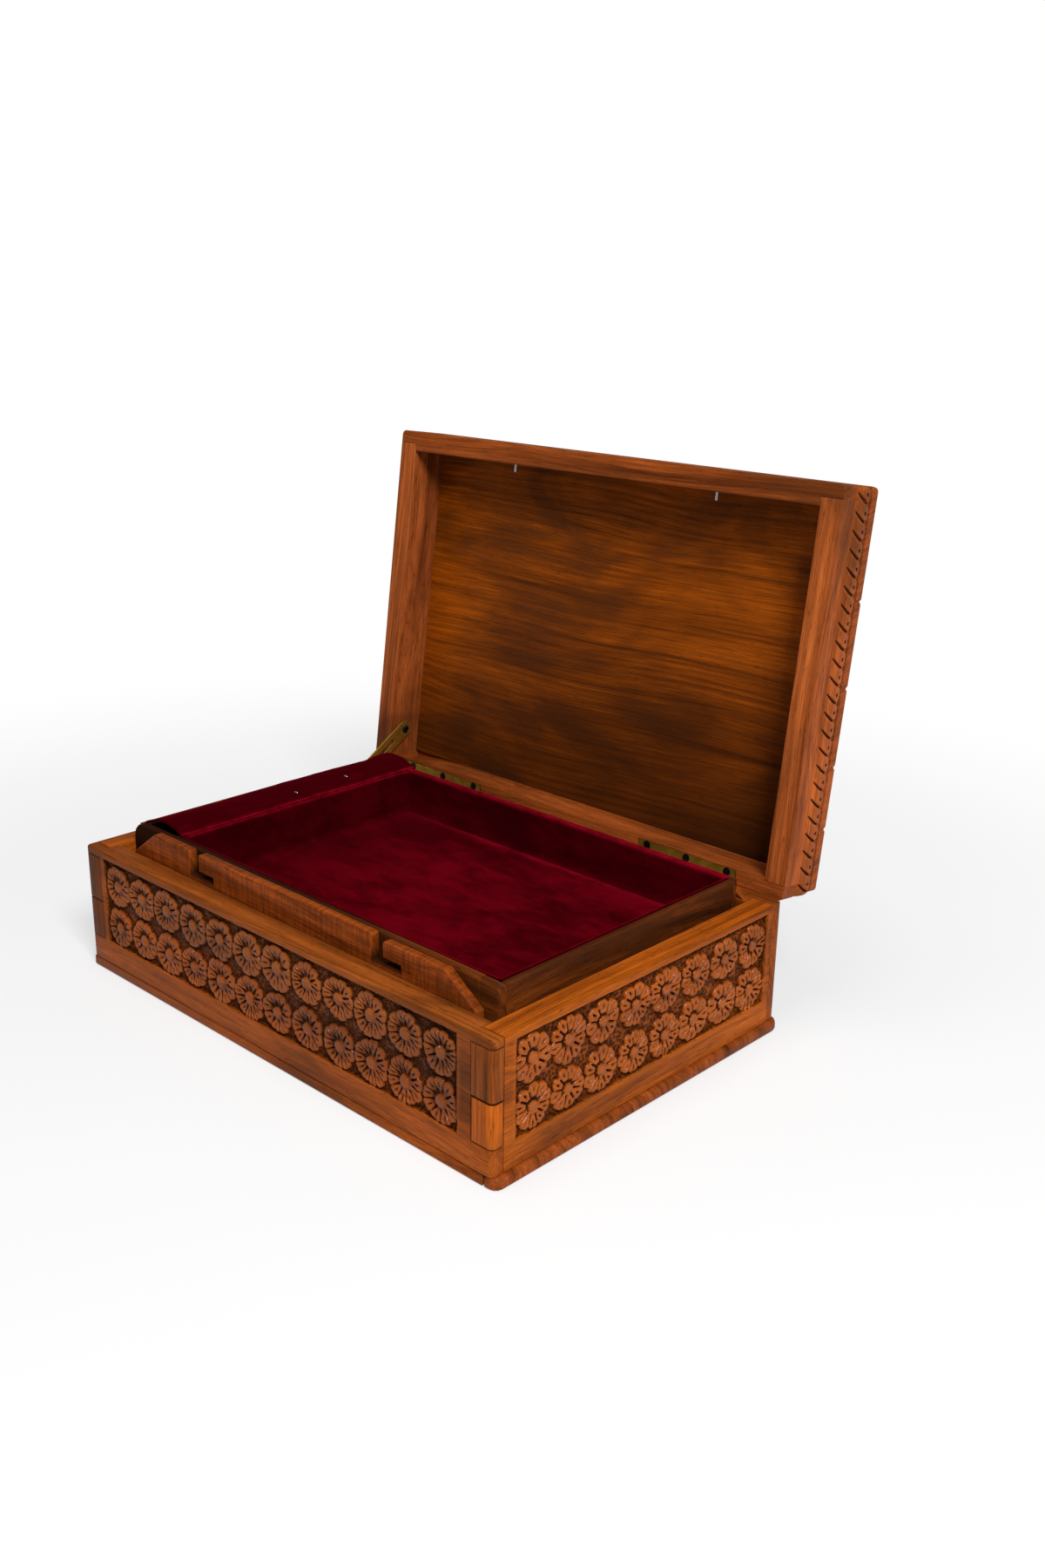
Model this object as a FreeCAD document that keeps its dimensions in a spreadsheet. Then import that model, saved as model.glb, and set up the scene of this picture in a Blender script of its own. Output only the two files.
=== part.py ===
import FreeCAD, Part
import math
import os
import re

import Sketcher

# Carved walnut jewellery box with a hidden sliding lock.
# Every piece is drawn with the lid shut, in millimetres, from the front left corner
# of the case at floor level: X to the right, Y to the back, Z up.
# The pieces are then placed so that the origin is under the middle of the case and
# the lid stands open on its stay.

doc = FreeCAD.newDocument("JewelleryBox")
sheet = doc.addObject("Spreadsheet::Sheet", "Size")

DIMENSIONS = {
    # case
    "case_width": 305.0,
    "case_depth": 203.0,
    "rim_height": 70.0,
    "base_thickness": 6.0,
    "base_overhang": 2.5,
    "base_corner": 6.0,
    "base_ease": 2.0,
    "strip_depth": 12.0,
    "strip_end": 298.5,
    "strip_gap": 1.5,
    "wall": 13.0,
    "lap": 7.0,
    "joint_gap": 0.3,
    "corner_ease": 2.6,
    "front_split": 40.9,
    "block_low": 18.8,
    "block_high": 66.0,
    # carved fields
    "field_front_left": 16.0,
    "field_front_right": 284.0,
    "field_side_front": 14.0,
    "field_side_back": 192.0,
    "field_low": 18.5,
    "field_high": 66.5,
    "field_depth": 1.8,
    "flower_relief": 1.5,
    "flower_radius": 10.6,
    "flowers_front": 12.0,
    "flowers_side": 8.0,
    "row_low": 29.6,
    "row_high": 53.0,
    # lined tray
    "tray_front": 22.1,
    "tray_back": 189.9,
    "tray_left": 47.0,
    "tray_right": 287.5,
    "tray_top": 81.0,
    "tray_board": 4.0,
    "tray_ease": 2.6,
    "tray_horn": 8.0,
    "tray_floor_low": 50.0,
    "tray_floor_board": 4.0,
    "bearer_height": 10.0,
    "bearer_depth": 9.5,
    "velvet": 1.0,
    "velvet_pad": 2.2,
    "ledge_start": 17.5,
    "ledge_spring": 79.0,
    "ledge_radius": 36.0,
    "ledge_cloth": 1.2,
    "batten_width": 6.5,
    "batten_low": 58.0,
    "batten_back": 160.0,
    # sliding lock
    "bar_front": 13.3,
    "bar_thickness": 8.4,
    "bar_low": 26.0,
    "bar_top": 87.0,
    "bar_left": 26.0,
    "bar_right": 282.0,
    "bar_top_left": 46.0,
    "bar_top_right": 263.5,
    "slot_floor": 71.8,
    "slot_width": 7.2,
    "slot_one": 77.0,
    "slot_two": 215.7,
    "leg_length": 12.0,
    "leg_height": 3.3,
    "lock_travel": 9.5,
    "guide_height": 9.7,
    "pin_one": 91.8,
    "pin_two": 230.8,
    "pin_radius": 0.8,
    "pin_height": 73.5,
    "pin_reach": 4.4,
    "pin_depth": 5.0,
    "tongue_start": 250.0,
    "tongue_front": 3.9,
    "tongue_thickness": 2.6,
    "tongue_low": 24.0,
    "tongue_height": 12.0,
    "link_start": 262.0,
    "link_width": 12.0,
    "link_low": 26.5,
    "link_height": 7.0,
    "link_depth": 4.0,
    # lid
    "lid_gap": 0.3,
    "rail_side": 12.4,
    "rail_front": 11.3,
    "rail_back": 8.6,
    "rail_top": 95.0,
    "strip_top": 80.5,
    "band_top": 93.3,
    "band_radius": 12.6,
    "quirk": 1.6,
    "panel_board": 2.0,
    "lid_top": 100.0,
    "lid_field_margin": 15.0,
    "medallion_radius": 42.0,
    "lid_open_angle": 97.5,
    # hinges
    "hinge_length": 63.0,
    "hinge_left": 29.5,
    "hinge_right": 212.5,
    "hinge_axis_back": 0.1,
    "leaf_front": 195.4,
    "leaf_thickness": 1.4,
    "knuckle_radius": 2.3,
    "hinge_pin_radius": 0.9,
    "knuckle_room": 2.8,
    "screw_head": 2.2,
    "screw_shank": 1.1,
    "screw_length": 9.0,
    "screw_inset": 5.5,
    # lid stay
    "stay_radius": 25.5,
    "stay_lid_angle": 157.4,
    "stay_case_angle": 184.4,
    "stay_plane": 13.4,
    "stay_thickness": 1.2,
    "stay_width": 9.4,
    "stay_shank": 1.2,
    "stay_head": 2.3,
    "stay_head_depth": 1.5,
    "stay_hold": 8.0,
    "stay_play": 0.3,
}

for row, (alias, number) in enumerate(DIMENSIONS.items(), start=1):
    sheet.set("A%d" % row, alias.replace("_", " "))
    sheet.set("B%d" % row, str(number))
    sheet.setAlias("B%d" % row, alias)
doc.recompute()


def sized(text):
    """Turn words in a formula into references to the cells of the sheet."""
    return re.sub(r"[a-z_]+", lambda word: "Size." + word.group(), str(text))


def value(text):
    """Work out a formula of the sheet's cells as a plain number."""
    return float(sheet.evalExpression(sized(text)))


def bind(target, **formulas):
    """Bind properties of a feature to formulas of the sheet's cells."""
    for name, text in formulas.items():
        target.setExpression(name, sized(text))


def bind_place(target, start):
    """Bind a feature's position to three formulas."""
    for axis, text in zip("xyz", start):
        target.setExpression("Placement.Base." + axis, sized(text))


def new_body(label):
    """Start a named sub-part."""
    made = doc.addObject("PartDesign::Body", label)
    made.Label = label
    made.AllowCompound = True
    return made


def block(owner, start, size, cut=False):
    """Add a rectangular block to a body, or cut one from it."""
    kind = "Subtractive" if cut else "Additive"
    made = owner.newObject("PartDesign::" + kind + "Box", owner.Label + "_block")
    bind(made, **dict(zip(("Length", "Width", "Height"), size)))
    bind_place(made, start)
    return made


TURN_TO = {
    "x": FreeCAD.Rotation(FreeCAD.Vector(0, 0, 1), FreeCAD.Vector(1, 0, 0)),
    "y": FreeCAD.Rotation(FreeCAD.Vector(0, 0, 1), FreeCAD.Vector(0, 1, 0)),
    "z": FreeCAD.Rotation(),
}


def rod(owner, start, axis, radius, length, cut=False):
    """Add a round rod that runs from start along an axis, or cut one out."""
    kind = "Subtractive" if cut else "Additive"
    made = owner.newObject("PartDesign::" + kind + "Cylinder", owner.Label + "_rod")
    made.Placement = FreeCAD.Placement(FreeCAD.Vector(), TURN_TO[axis])
    bind(made, Radius=radius, Height=length)
    bind_place(made, start)
    return made


def peg(owner, start, sides, radius, length, cut=False):
    """Add an upright peg with flat sides, or cut one out."""
    kind = "Subtractive" if cut else "Additive"
    made = owner.newObject("PartDesign::" + kind + "Prism", owner.Label + "_peg")
    made.Polygon = sides
    bind(made, Circumradius=radius, Height=length)
    bind_place(made, start)
    return made


def new_sketch(owner, plane, offset):
    """Start a sketch on one of a body's own planes, moved along the plane's normal."""
    made = owner.newObject("Sketcher::SketchObject", owner.Label + "_sketch")
    support = [part for part in owner.Origin.OriginFeatures if part.Role == plane][0]
    made.AttachmentSupport = (support, [""])
    made.MapMode = "FlatFace"
    made.setExpression("AttachmentOffset.Base.z", sized(offset))
    return made


def fix_point(sketch, geometry, end, x, y):
    """Hold one end of a line at two formulas measured from the sketch's origin."""
    for kind, axis, text in (("DistanceX", -2, x), ("DistanceY", -1, y)):
        distance = value(text)
        if abs(distance) < 1e-6:
            sketch.addConstraint(Sketcher.Constraint("PointOnObject", geometry, end, axis))
            continue
        ends = (-1, 1, geometry, end) if distance > 0 else (geometry, end, -1, 1)
        index = sketch.addConstraint(Sketcher.Constraint(kind, *ends, abs(distance)))
        formula = sized(text) if distance > 0 else "-(" + sized(text) + ")"
        sketch.setExpression("Constraints[%d]" % index, formula)


def draw_outline(sketch, points):
    """Draw a closed outline of lines and arcs in a sketch.

    Each point is (x, y) or (x, y, radius). With a radius, the side that starts there is
    an arc that swells to the left of the way to the next point, or to the right where
    the radius is written with a minus.
    """
    first = sketch.GeometryCount
    places = [FreeCAD.Vector(value(point[0]), value(point[1]), 0) for point in points]
    starts = []
    for index, point in enumerate(points):
        here = places[index]
        there = places[(index + 1) % len(points)]
        if len(point) == 2:
            sketch.addGeometry(Part.LineSegment(here, there))
            starts.append((1, 2))
            continue
        radius = abs(value(point[2]))
        left = value(point[2]) > 0
        chord = there.sub(here)
        half = chord.Length / 2
        side = FreeCAD.Vector(-chord.y, chord.x, 0).normalize()
        if not left:
            side = side.negative()
        rise = radius - math.sqrt(max(radius * radius - half * half, 0))
        crest = here.add(chord.multiply(0.5)).add(side.multiply(rise))
        sketch.addGeometry(Part.Arc(here, crest, there))
        begins = sketch.getPoint(first + index, 1).distanceToPoint(here) < 1e-4
        starts.append((1, 2) if begins else (2, 1))
        if radius - half < 1e-6:
            sketch.addConstraint(Sketcher.Constraint(
                "Symmetric", first + index, 1, first + index, 2, first + index, 3))
            continue
        ring = sketch.addConstraint(Sketcher.Constraint("Radius", first + index, radius))
        sketch.setExpression("Constraints[%d]" % ring, "abs(" + sized(point[2]) + ")")
    for index, point in enumerate(points):
        behind = (index - 1) % len(points)
        sketch.addConstraint(Sketcher.Constraint(
            "Coincident", first + behind, starts[behind][1], first + index, starts[index][0]))
        fix_point(sketch, first + index, starts[index][0], point[0], point[1])


def grow(owner, sketch, length, reverse=False):
    """Pad a sketch."""
    made = owner.newObject("PartDesign::Pad", owner.Label + "_pad")
    made.Profile = sketch
    made.Reversed = reverse
    bind(made, Length=length)
    return made


def carve(owner, sketch, length, reverse=False):
    """Pocket a sketch, and check that it takes wood away."""
    doc.recompute()
    before = owner.Shape.Volume
    made = owner.newObject("PartDesign::Pocket", owner.Label + "_pocket")
    made.Profile = sketch
    made.Reversed = reverse
    bind(made, Length=length)
    doc.recompute()
    if owner.Shape.Volume > before - 1e-3:
        raise RuntimeError("a pocket cut nothing: " + owner.Label)
    return made


def ease(owner, radius, wanted):
    """Round the edges of a body whose middle points a rule picks."""
    doc.recompute()
    tip = owner.Tip
    names = ["Edge%d" % number for number, edge in enumerate(owner.Shape.Edges, start=1)
             if wanted(edge.CenterOfMass)]
    if not names:
        raise RuntimeError("no edge to round: " + owner.Label)
    made = owner.newObject("PartDesign::Fillet", owner.Label + "_ease")
    made.Base = (tip, names)
    bind(made, Radius=radius)
    return made


def upright(x, y):
    """Rule for the upright edges at a place of the plan."""
    place = FreeCAD.Vector(value(x), value(y), 0)
    return lambda middle: FreeCAD.Vector(middle.x, middle.y, 0).distanceToPoint(place) < 1e-3


# Case: base

base = new_body("base_plate")
base_sketch = new_sketch(base, "XY_Plane", "0")
BASE_RIGHT = "case_width + base_overhang"
BASE_BACK = "case_depth + base_overhang"
draw_outline(base_sketch, [
    ("0", "strip_depth"),
    ("strip_end + strip_gap", "strip_depth"),
    ("strip_end + strip_gap", "0"),
    (BASE_RIGHT + " - base_corner", "0", "-base_corner"),
    (BASE_RIGHT, "base_corner"),
    (BASE_RIGHT, BASE_BACK + " - base_corner", "-base_corner"),
    (BASE_RIGHT + " - base_corner", BASE_BACK),
    ("0", BASE_BACK),
])
grow(base, base_sketch, "base_thickness")
ease(base, "base_ease", lambda middle: middle.z > value("base_thickness") - 1e-3
     and (middle.x > value("case_width") or middle.y > value("case_depth")))

strip = new_body("base_front_strip")
block(strip, ("0", "0", "0"), ("strip_end", "strip_depth", "base_thickness"))
ease(strip, "base_ease / 2", lambda middle: middle.y < 1e-3 and middle.z > value("base_thickness") - 1e-3)

# Case: boards, with the front and back boards lapped over the ends of the side boards

INNER_WIDTH = "case_width - 2 * wall"
WALL_HEIGHT = "rim_height - base_thickness"
FIELD_HEIGHT = "field_high - field_low"
FRONT_FIELD_WIDTH = "field_front_right - field_front_left"
SIDE_FIELD_DEPTH = "field_side_back - field_side_front"


def front_board(label, low, high, notch_low, notch_high, field_low, field_high):
    """A front board: a face lapped over the side boards, notched for the corner blocks."""
    made = new_body(label)
    tall = high + " - " + low
    block(made, ("0", "0", low), ("case_width", "lap", tall))
    block(made, ("wall", "lap", low), (INNER_WIDTH, "wall - lap", tall))
    for left in ("0", "case_width - wall"):
        block(made, (left, "0", notch_low), ("wall", "lap", notch_high + " - " + notch_low), cut=True)
    block(made, ("field_front_left", "0", field_low),
          (FRONT_FIELD_WIDTH, "field_depth", field_high + " - " + field_low), cut=True)
    for corner in ("0", "case_width"):
        ease(made, "corner_ease", upright(corner, "0"))
    return made


front_upper = front_board("front_board_upper", "front_split", "rim_height", "front_split",
                          "block_high", "front_split", "field_high")
front_lower = front_board("front_board_lower", "base_thickness", "front_split", "block_low",
                          "front_split", "field_low", "front_split")

# mortise for the tongue of the corner key, and the slot that its link slides in
MORTISE_START = "tongue_start - joint_gap"
block(front_lower, (MORTISE_START, "tongue_front - joint_gap", "tongue_low - joint_gap"),
      ("case_width - wall - tongue_start + joint_gap", "tongue_thickness + 2 * joint_gap",
       "tongue_height + 2 * joint_gap"), cut=True)
block(front_lower, ("link_start - joint_gap", "tongue_front", "link_low - joint_gap"),
      ("link_width + lock_travel + 2 * joint_gap", "wall", "link_height + 2 * joint_gap"), cut=True)

back = new_body("back_board")
block(back, ("0", "case_depth - lap", "base_thickness"), ("case_width", "lap", WALL_HEIGHT))
block(back, ("wall", "case_depth - wall", "base_thickness"), (INNER_WIDTH, "wall - lap", WALL_HEIGHT))
block(back, ("field_front_left", "case_depth - field_depth", "field_low"),
      (FRONT_FIELD_WIDTH, "field_depth", FIELD_HEIGHT), cut=True)
for corner in ("0", "case_width"):
    ease(back, "corner_ease", upright(corner, "case_depth"))


def side_board(label, left, face):
    """A side board between the laps of the front and back boards."""
    made = new_body(label)
    block(made, (left, "lap", "base_thickness"), ("wall", "case_depth - 2 * lap", WALL_HEIGHT))
    block(made, (face, "field_side_front", "field_low"),
          ("field_depth", SIDE_FIELD_DEPTH, FIELD_HEIGHT), cut=True)
    return made


RIGHT_GROUND = "case_width - field_depth"
left_side = side_board("left_board", "0", "0")
right_side = side_board("right_board", "case_width - wall", RIGHT_GROUND)

# Case: corner blocks let into the ends of the front boards; the fourth one is the key


def corner_block(label, left, corner, low, high):
    """A block that fills one notch at the end of a front board, eased at the case's corner."""
    made = new_body(label)
    block(made, (left, "0", low), ("wall", "lap", high + " - " + low))
    ease(made, "corner_ease", upright(corner, "0"))
    return made


corner_block("corner_block_left_lower", "0", "0", "block_low", "front_split")
corner_block("corner_block_left_upper", "0", "0", "front_split", "block_high")
corner_block("corner_block_right_upper", "case_width - wall", "case_width", "front_split", "block_high")

# Sliding lock: key with its tongue, link and slotted bar

key = new_body("corner_key")
block(key, ("case_width - wall + joint_gap", "0", "block_low + joint_gap"),
      ("wall - joint_gap", "lap - joint_gap", "front_split - block_low - 2 * joint_gap"))
block(key, ("tongue_start", "tongue_front", "tongue_low"),
      ("case_width - wall - tongue_start + 2 * joint_gap", "tongue_thickness", "tongue_height"))
ease(key, "corner_ease", upright("case_width", "0"))

TONGUE_BACK = "tongue_front + tongue_thickness"
link = new_body("key_link")
block(link, ("link_start", TONGUE_BACK, "link_low"),
      ("link_width", "bar_front + link_depth - tongue_front - tongue_thickness", "link_height"))

bar = new_body("lock_bar")
bar_sketch = new_sketch(bar, "XZ_Plane", "-bar_front")
draw_outline(bar_sketch, [
    ("bar_left", "bar_low"),
    ("bar_right", "bar_low"),
    ("bar_right", "rim_height"),
    ("bar_top_right", "bar_top"),
    ("bar_top_left", "bar_top"),
    ("bar_left", "rim_height"),
])
grow(bar, bar_sketch, "bar_thickness", reverse=True)
for slot in ("slot_one", "slot_two"):
    slot_sketch = new_sketch(bar, "XZ_Plane", "-bar_front")
    leg_end = slot + " + slot_width + leg_length"
    draw_outline(slot_sketch, [
        (slot, "slot_floor"),
        (leg_end, "slot_floor"),
        (leg_end, "slot_floor + leg_height"),
        (slot + " + slot_width", "slot_floor + leg_height"),
        (slot + " + slot_width", "bar_top"),
        (slot, "bar_top"),
    ])
    carve(bar, slot_sketch, "bar_thickness")
block(bar, ("link_start", "bar_front", "link_low"), ("link_width", "link_depth", "link_height"), cut=True)

guide = new_body("lock_bar_guide")
block(guide, ("wall", "wall", "bar_low - guide_height - joint_gap"),
      (INNER_WIDTH, "tray_front - wall", "guide_height"))

# Lined tray: bearers, floor and walls

BEARER_LOW = "tray_floor_low - bearer_height"
front_bearer = new_body("tray_bearer_front")
block(front_bearer, ("wall", "tray_front", BEARER_LOW), (INNER_WIDTH, "bearer_depth", "bearer_height"))
back_bearer = new_body("tray_bearer_back")
block(back_bearer, ("tray_left", "case_depth - wall - bearer_depth", BEARER_LOW),
      ("case_width - wall - tray_left", "bearer_depth", "bearer_height"))

floor_board = new_body("tray_floor")
block(floor_board, ("tray_left", "tray_front", "tray_floor_low"),
      ("tray_right - tray_left", "tray_back - tray_front", "tray_floor_board"))

WALL_LOW = "tray_floor_low + tray_floor_board"
TRAY_WALL_HEIGHT = "tray_top - tray_floor_low - tray_floor_board"
TRAY_INNER_FRONT = "tray_front + tray_board"
TRAY_INNER_DEPTH = "tray_back - tray_front - 2 * tray_board"


def tray_wall(label, left, front, width, depth):
    """A thin wall of the tray, standing on its floor."""
    made = new_body(label)
    block(made, (left, front, WALL_LOW), (width, depth, TRAY_WALL_HEIGHT))
    return made


front_wall = tray_wall("tray_front_wall", "wall", "tray_front", "tray_right - wall", "tray_board")
ease(front_wall, "tray_ease", upright("tray_right", "tray_front"))
ease(front_wall, "tray_horn", lambda middle: middle.x < value("wall") + 1e-3
     and middle.z > value("tray_top") - 1e-3)
back_wall = tray_wall("tray_back_wall", "tray_left", "tray_back - tray_board", "tray_right - tray_left",
                      "tray_board")
ease(back_wall, "tray_ease", upright("tray_right", "tray_back"))
tray_wall("tray_left_wall", "tray_left", TRAY_INNER_FRONT, "tray_board", TRAY_INNER_DEPTH)
tray_wall("tray_right_wall", "tray_right - tray_board", TRAY_INNER_FRONT, "tray_board", TRAY_INNER_DEPTH)

# Velvet lining: a padded floor, four wall linings and the arched ledge over the left channel

INNER_LEFT = "tray_left + tray_board"
INNER_LENGTH = "tray_right - tray_left - 2 * tray_board"
lining = new_body("velvet_floor")
block(lining, (INNER_LEFT, TRAY_INNER_FRONT, WALL_LOW), (INNER_LENGTH, TRAY_INNER_DEPTH, "velvet_pad"))

LINING_LOW = WALL_LOW + " + velvet_pad"
LINING_HEIGHT = TRAY_WALL_HEIGHT + " - velvet_pad"


def wall_lining(label, left, front, width, depth):
    """Velvet glued to the inner face of a tray wall."""
    made = new_body(label)
    block(made, (left, front, LINING_LOW), (width, depth, LINING_HEIGHT))
    return made


wall_lining("velvet_front", INNER_LEFT, TRAY_INNER_FRONT, INNER_LENGTH, "velvet")
wall_lining("velvet_back", INNER_LEFT, "tray_back - tray_board - velvet", INNER_LENGTH, "velvet")
wall_lining("velvet_left", INNER_LEFT, TRAY_INNER_FRONT + " + velvet", "velvet",
            TRAY_INNER_DEPTH + " - 2 * velvet")
wall_lining("velvet_right", "tray_right - tray_board - velvet", TRAY_INNER_FRONT + " + velvet", "velvet",
            TRAY_INNER_DEPTH + " - 2 * velvet")

batten = new_body("ledge_batten")
block(batten, ("wall", TRAY_INNER_FRONT, "batten_low"),
      ("batten_width", "batten_back - tray_front - tray_board", "ledge_spring - batten_low"))

ledge = new_body("velvet_ledge")
ledge_sketch = new_sketch(ledge, "XZ_Plane", "-(" + TRAY_INNER_FRONT + ")")
draw_outline(ledge_sketch, [
    ("ledge_start", "ledge_spring"),
    ("ledge_start", "ledge_spring + ledge_cloth", "ledge_radius"),
    (INNER_LEFT, "tray_top + ledge_cloth"),
    (INNER_LEFT, "tray_top"),
    ("tray_left", "tray_top", "-(ledge_radius - ledge_cloth)"),
])
grow(ledge, ledge_sketch, "tray_back - tray_front - tray_board", reverse=True)

# Lid: four rails with a swelling border, an inner panel and the carved top board

LID_LOW = "rim_height + lid_gap"


def rail_points(face, inward, width, swelling=True):
    """Section of a lid rail: flat strip, border, quirk, then the inner face.

    face is the outer plane and inward is + or - for the way into the lid. The border
    swells out of the face on the side rails, and is flat on the front and back rails.
    """
    swell = "band_radius" if inward == "+" else "-band_radius"
    border = [(face, "strip_top", swell)] if swelling else []
    return [
        (face, LID_LOW),
        *border,
        (face, "band_top"),
        (face + inward + "quirk", "band_top"),
        (face + inward + "quirk", "rail_top"),
        (face + inward + width, "rail_top"),
        (face + inward + width, LID_LOW),
    ]


def end_waste(face, outward):
    """Wood outside the border's section, to be cut from the end of a lapped rail."""
    swell = "band_radius" if outward == "-" else "-band_radius"
    inward = "+" if outward == "-" else "-"
    reach = face + outward + "2 * lap"
    return [
        (face, LID_LOW),
        (face, "strip_top", swell),
        (face, "band_top"),
        (face + inward + "quirk", "band_top"),
        (face + inward + "quirk", "rail_top"),
        (reach, "rail_top"),
        (reach, LID_LOW),
    ]


def lapped_rail(label, face, inward, width, lap_start):
    """Front or back rail: its section runs the whole width and returns round both ends."""
    made = new_body(label)
    section = new_sketch(made, "YZ_Plane", "-lap")
    draw_outline(section, rail_points(face, inward, width, swelling=False))
    grow(made, section, "case_width + 2 * lap")
    for end, outward in (("0", "-"), ("case_width", "+")):
        waste = new_sketch(made, "XZ_Plane", "lap")
        draw_outline(waste, end_waste(end, outward))
        carve(made, waste, "case_depth + 2 * lap", reverse=False)
    for left in ("-lap", "case_width - rail_side"):
        block(made, (left, lap_start, LID_LOW),
              ("rail_side + lap", width + " - lap", "rail_top - (" + LID_LOW + ")"), cut=True)
    return made


front_rail = lapped_rail("lid_front_rail", "0", "+", "rail_front", "lap")
back_rail = lapped_rail("lid_back_rail", "case_depth", "-", "rail_back", "case_depth - rail_back")


def side_rail(label, face, inward):
    """Side rail between the laps of the front and back rails."""
    made = new_body(label)
    section = new_sketch(made, "XZ_Plane", "-lap")
    draw_outline(section, rail_points(face, inward, "rail_side"))
    grow(made, section, "case_depth - 2 * lap", reverse=True)
    return made


left_rail = side_rail("lid_left_rail", "0", "+")
side_rail("lid_right_rail", "case_width", "-")

panel = new_body("lid_inner_panel")
block(panel, ("rail_side", "rail_front", "rail_top - panel_board"),
      ("case_width - 2 * rail_side", "case_depth - rail_front - rail_back", "panel_board"))

top = new_body("lid_top_board")
block(top, ("0", "0", "rail_top"), ("case_width", "case_depth", "lid_top - rail_top"))
TOP_FIELD = "lid_field_margin"
block(top, (TOP_FIELD, TOP_FIELD, "lid_top - field_depth"),
      ("case_width - 2 * lid_field_margin", "case_depth - 2 * lid_field_margin", "field_depth"), cut=True)

# Lock pins in the lid's front rail

pins = new_body("lock_pins")
for across in ("pin_one", "pin_two"):
    start = (across, "rail_front - pin_depth", "pin_height")
    rod(pins, start, "y", "pin_radius", "pin_depth + pin_reach")
    rod(front_rail, start, "y", "pin_radius", "pin_depth + pin_reach", cut=True)

# Hinges: leaves let into the rims, with knuckles behind the back

AXIS_Y = "case_depth + hinge_axis_back"
AXIS_Z = "rim_height + lid_gap / 2"
KNUCKLES = 3
SCREWS_PER_LEAF = 3
HEAD_SIDES = 12
SHANK_SIDES = 8
LEAF_DEPTH = AXIS_Y + " - leaf_front"
ROOM_FRONT = AXIS_Y + " - knuckle_room"


def hinge_leaf(label, left, low, knuckles):
    """A brass leaf with its share of the knuckles, bored for the pin and the screws."""
    made = new_body(label)
    block(made, (left, "leaf_front", low), ("hinge_length", LEAF_DEPTH, "leaf_thickness"))
    barrel_room = "2 * knuckle_radius"
    for index in range(KNUCKLES):
        start = "%s + %d * hinge_length / %d" % (left, index, KNUCKLES)
        if index in knuckles:
            rod(made, (start + " + stay_play / 2", AXIS_Y, AXIS_Z), "x", "knuckle_radius",
                "hinge_length / %d - stay_play" % KNUCKLES)
        else:
            block(made, (start + " - stay_play / 2", ROOM_FRONT, AXIS_Z + " - " + barrel_room),
                  ("hinge_length / %d + stay_play" % KNUCKLES, "2 * knuckle_room", "2 * " + barrel_room),
                  cut=True)
    rod(made, (left + " - 1", AXIS_Y, AXIS_Z), "x", "hinge_pin_radius", "hinge_length + 2", cut=True)
    return made


def screw_places(left):
    """Places along a leaf where its screws go."""
    run = "(hinge_length - 2 * screw_inset) / %d" % (SCREWS_PER_LEAF - 1)
    return ["%s + screw_inset + %d * %s" % (left, index, run) for index in range(SCREWS_PER_LEAF)]


SCREW_Y = "(leaf_front + case_depth - knuckle_room) / 2"
CASE_LEAF_LOW = "rim_height - leaf_thickness"
case_screws = new_body("hinge_case_screws")
lid_screws = new_body("hinge_lid_screws")


def screw(owner, across, face, way):
    """A countersunk screw, its head level with a face; way is + for a screw that points up."""
    head_low = face if way == "+" else face + " - leaf_thickness"
    shank_low = face if way == "+" else face + " - screw_length"
    peg(owner, (across, SCREW_Y, head_low), HEAD_SIDES, "screw_head", "leaf_thickness")
    peg(owner, (across, SCREW_Y, shank_low), SHANK_SIDES, "screw_shank", "screw_length")


def screw_hole(owner, across, face, way, sides, radius):
    """The hole that a screw's head or shank fills."""
    low = face if way == "+" else face + " - screw_length"
    peg(owner, (across, SCREW_Y, low), sides, radius, "screw_length", cut=True)


for side, left in (("left", "hinge_left"), ("right", "hinge_right")):
    case_leaf = hinge_leaf("hinge_%s_case_leaf" % side, left, CASE_LEAF_LOW, (0, 2))
    lid_leaf = hinge_leaf("hinge_%s_lid_leaf" % side, left, LID_LOW, (1,))
    hinge_pin = new_body("hinge_%s_pin" % side)
    rod(hinge_pin, (left, AXIS_Y, AXIS_Z), "x", "hinge_pin_radius", "hinge_length")
    block(back, (left, "leaf_front", CASE_LEAF_LOW), ("hinge_length", "wall", "leaf_thickness"), cut=True)
    block(back, (left + " - 0.4", ROOM_FRONT, "rim_height - knuckle_room"),
          ("hinge_length + 0.8", "wall", "knuckle_room"), cut=True)
    block(back_rail, (left, "leaf_front", LID_LOW), ("hinge_length", "wall", "leaf_thickness"), cut=True)
    block(back_rail, (left + " - 0.4", ROOM_FRONT, LID_LOW),
          ("hinge_length + 0.8", "wall", "knuckle_room"), cut=True)
    for across in screw_places(left):
        screw(case_screws, across, "rim_height", "-")
        screw_hole(case_leaf, across, "rim_height", "-", HEAD_SIDES, "screw_head")
        screw_hole(back, across, "rim_height", "-", SHANK_SIDES, "screw_shank")
        screw(lid_screws, across, LID_LOW, "+")
        screw_hole(lid_leaf, across, LID_LOW, "+", HEAD_SIDES, "screw_head")
        screw_hole(back_rail, across, LID_LOW, "+", SHANK_SIDES, "screw_shank")

# Lid stay: a slotted brass arm that pivots on the lid and slides on a pin in the case.
# Pivot and pin stand equally far from the hinge axis, so the arm turns half as far as the lid.

axis_y = value(AXIS_Y)
axis_z = value(AXIS_Z)
stay_radius = value("stay_radius")


def round_the_hinge(angle):
    """Point at the stay's radius from the hinge axis, at an angle in the plane of Y and Z."""
    return (axis_y + stay_radius * math.cos(math.radians(angle)),
            axis_z + stay_radius * math.sin(math.radians(angle)))


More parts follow.
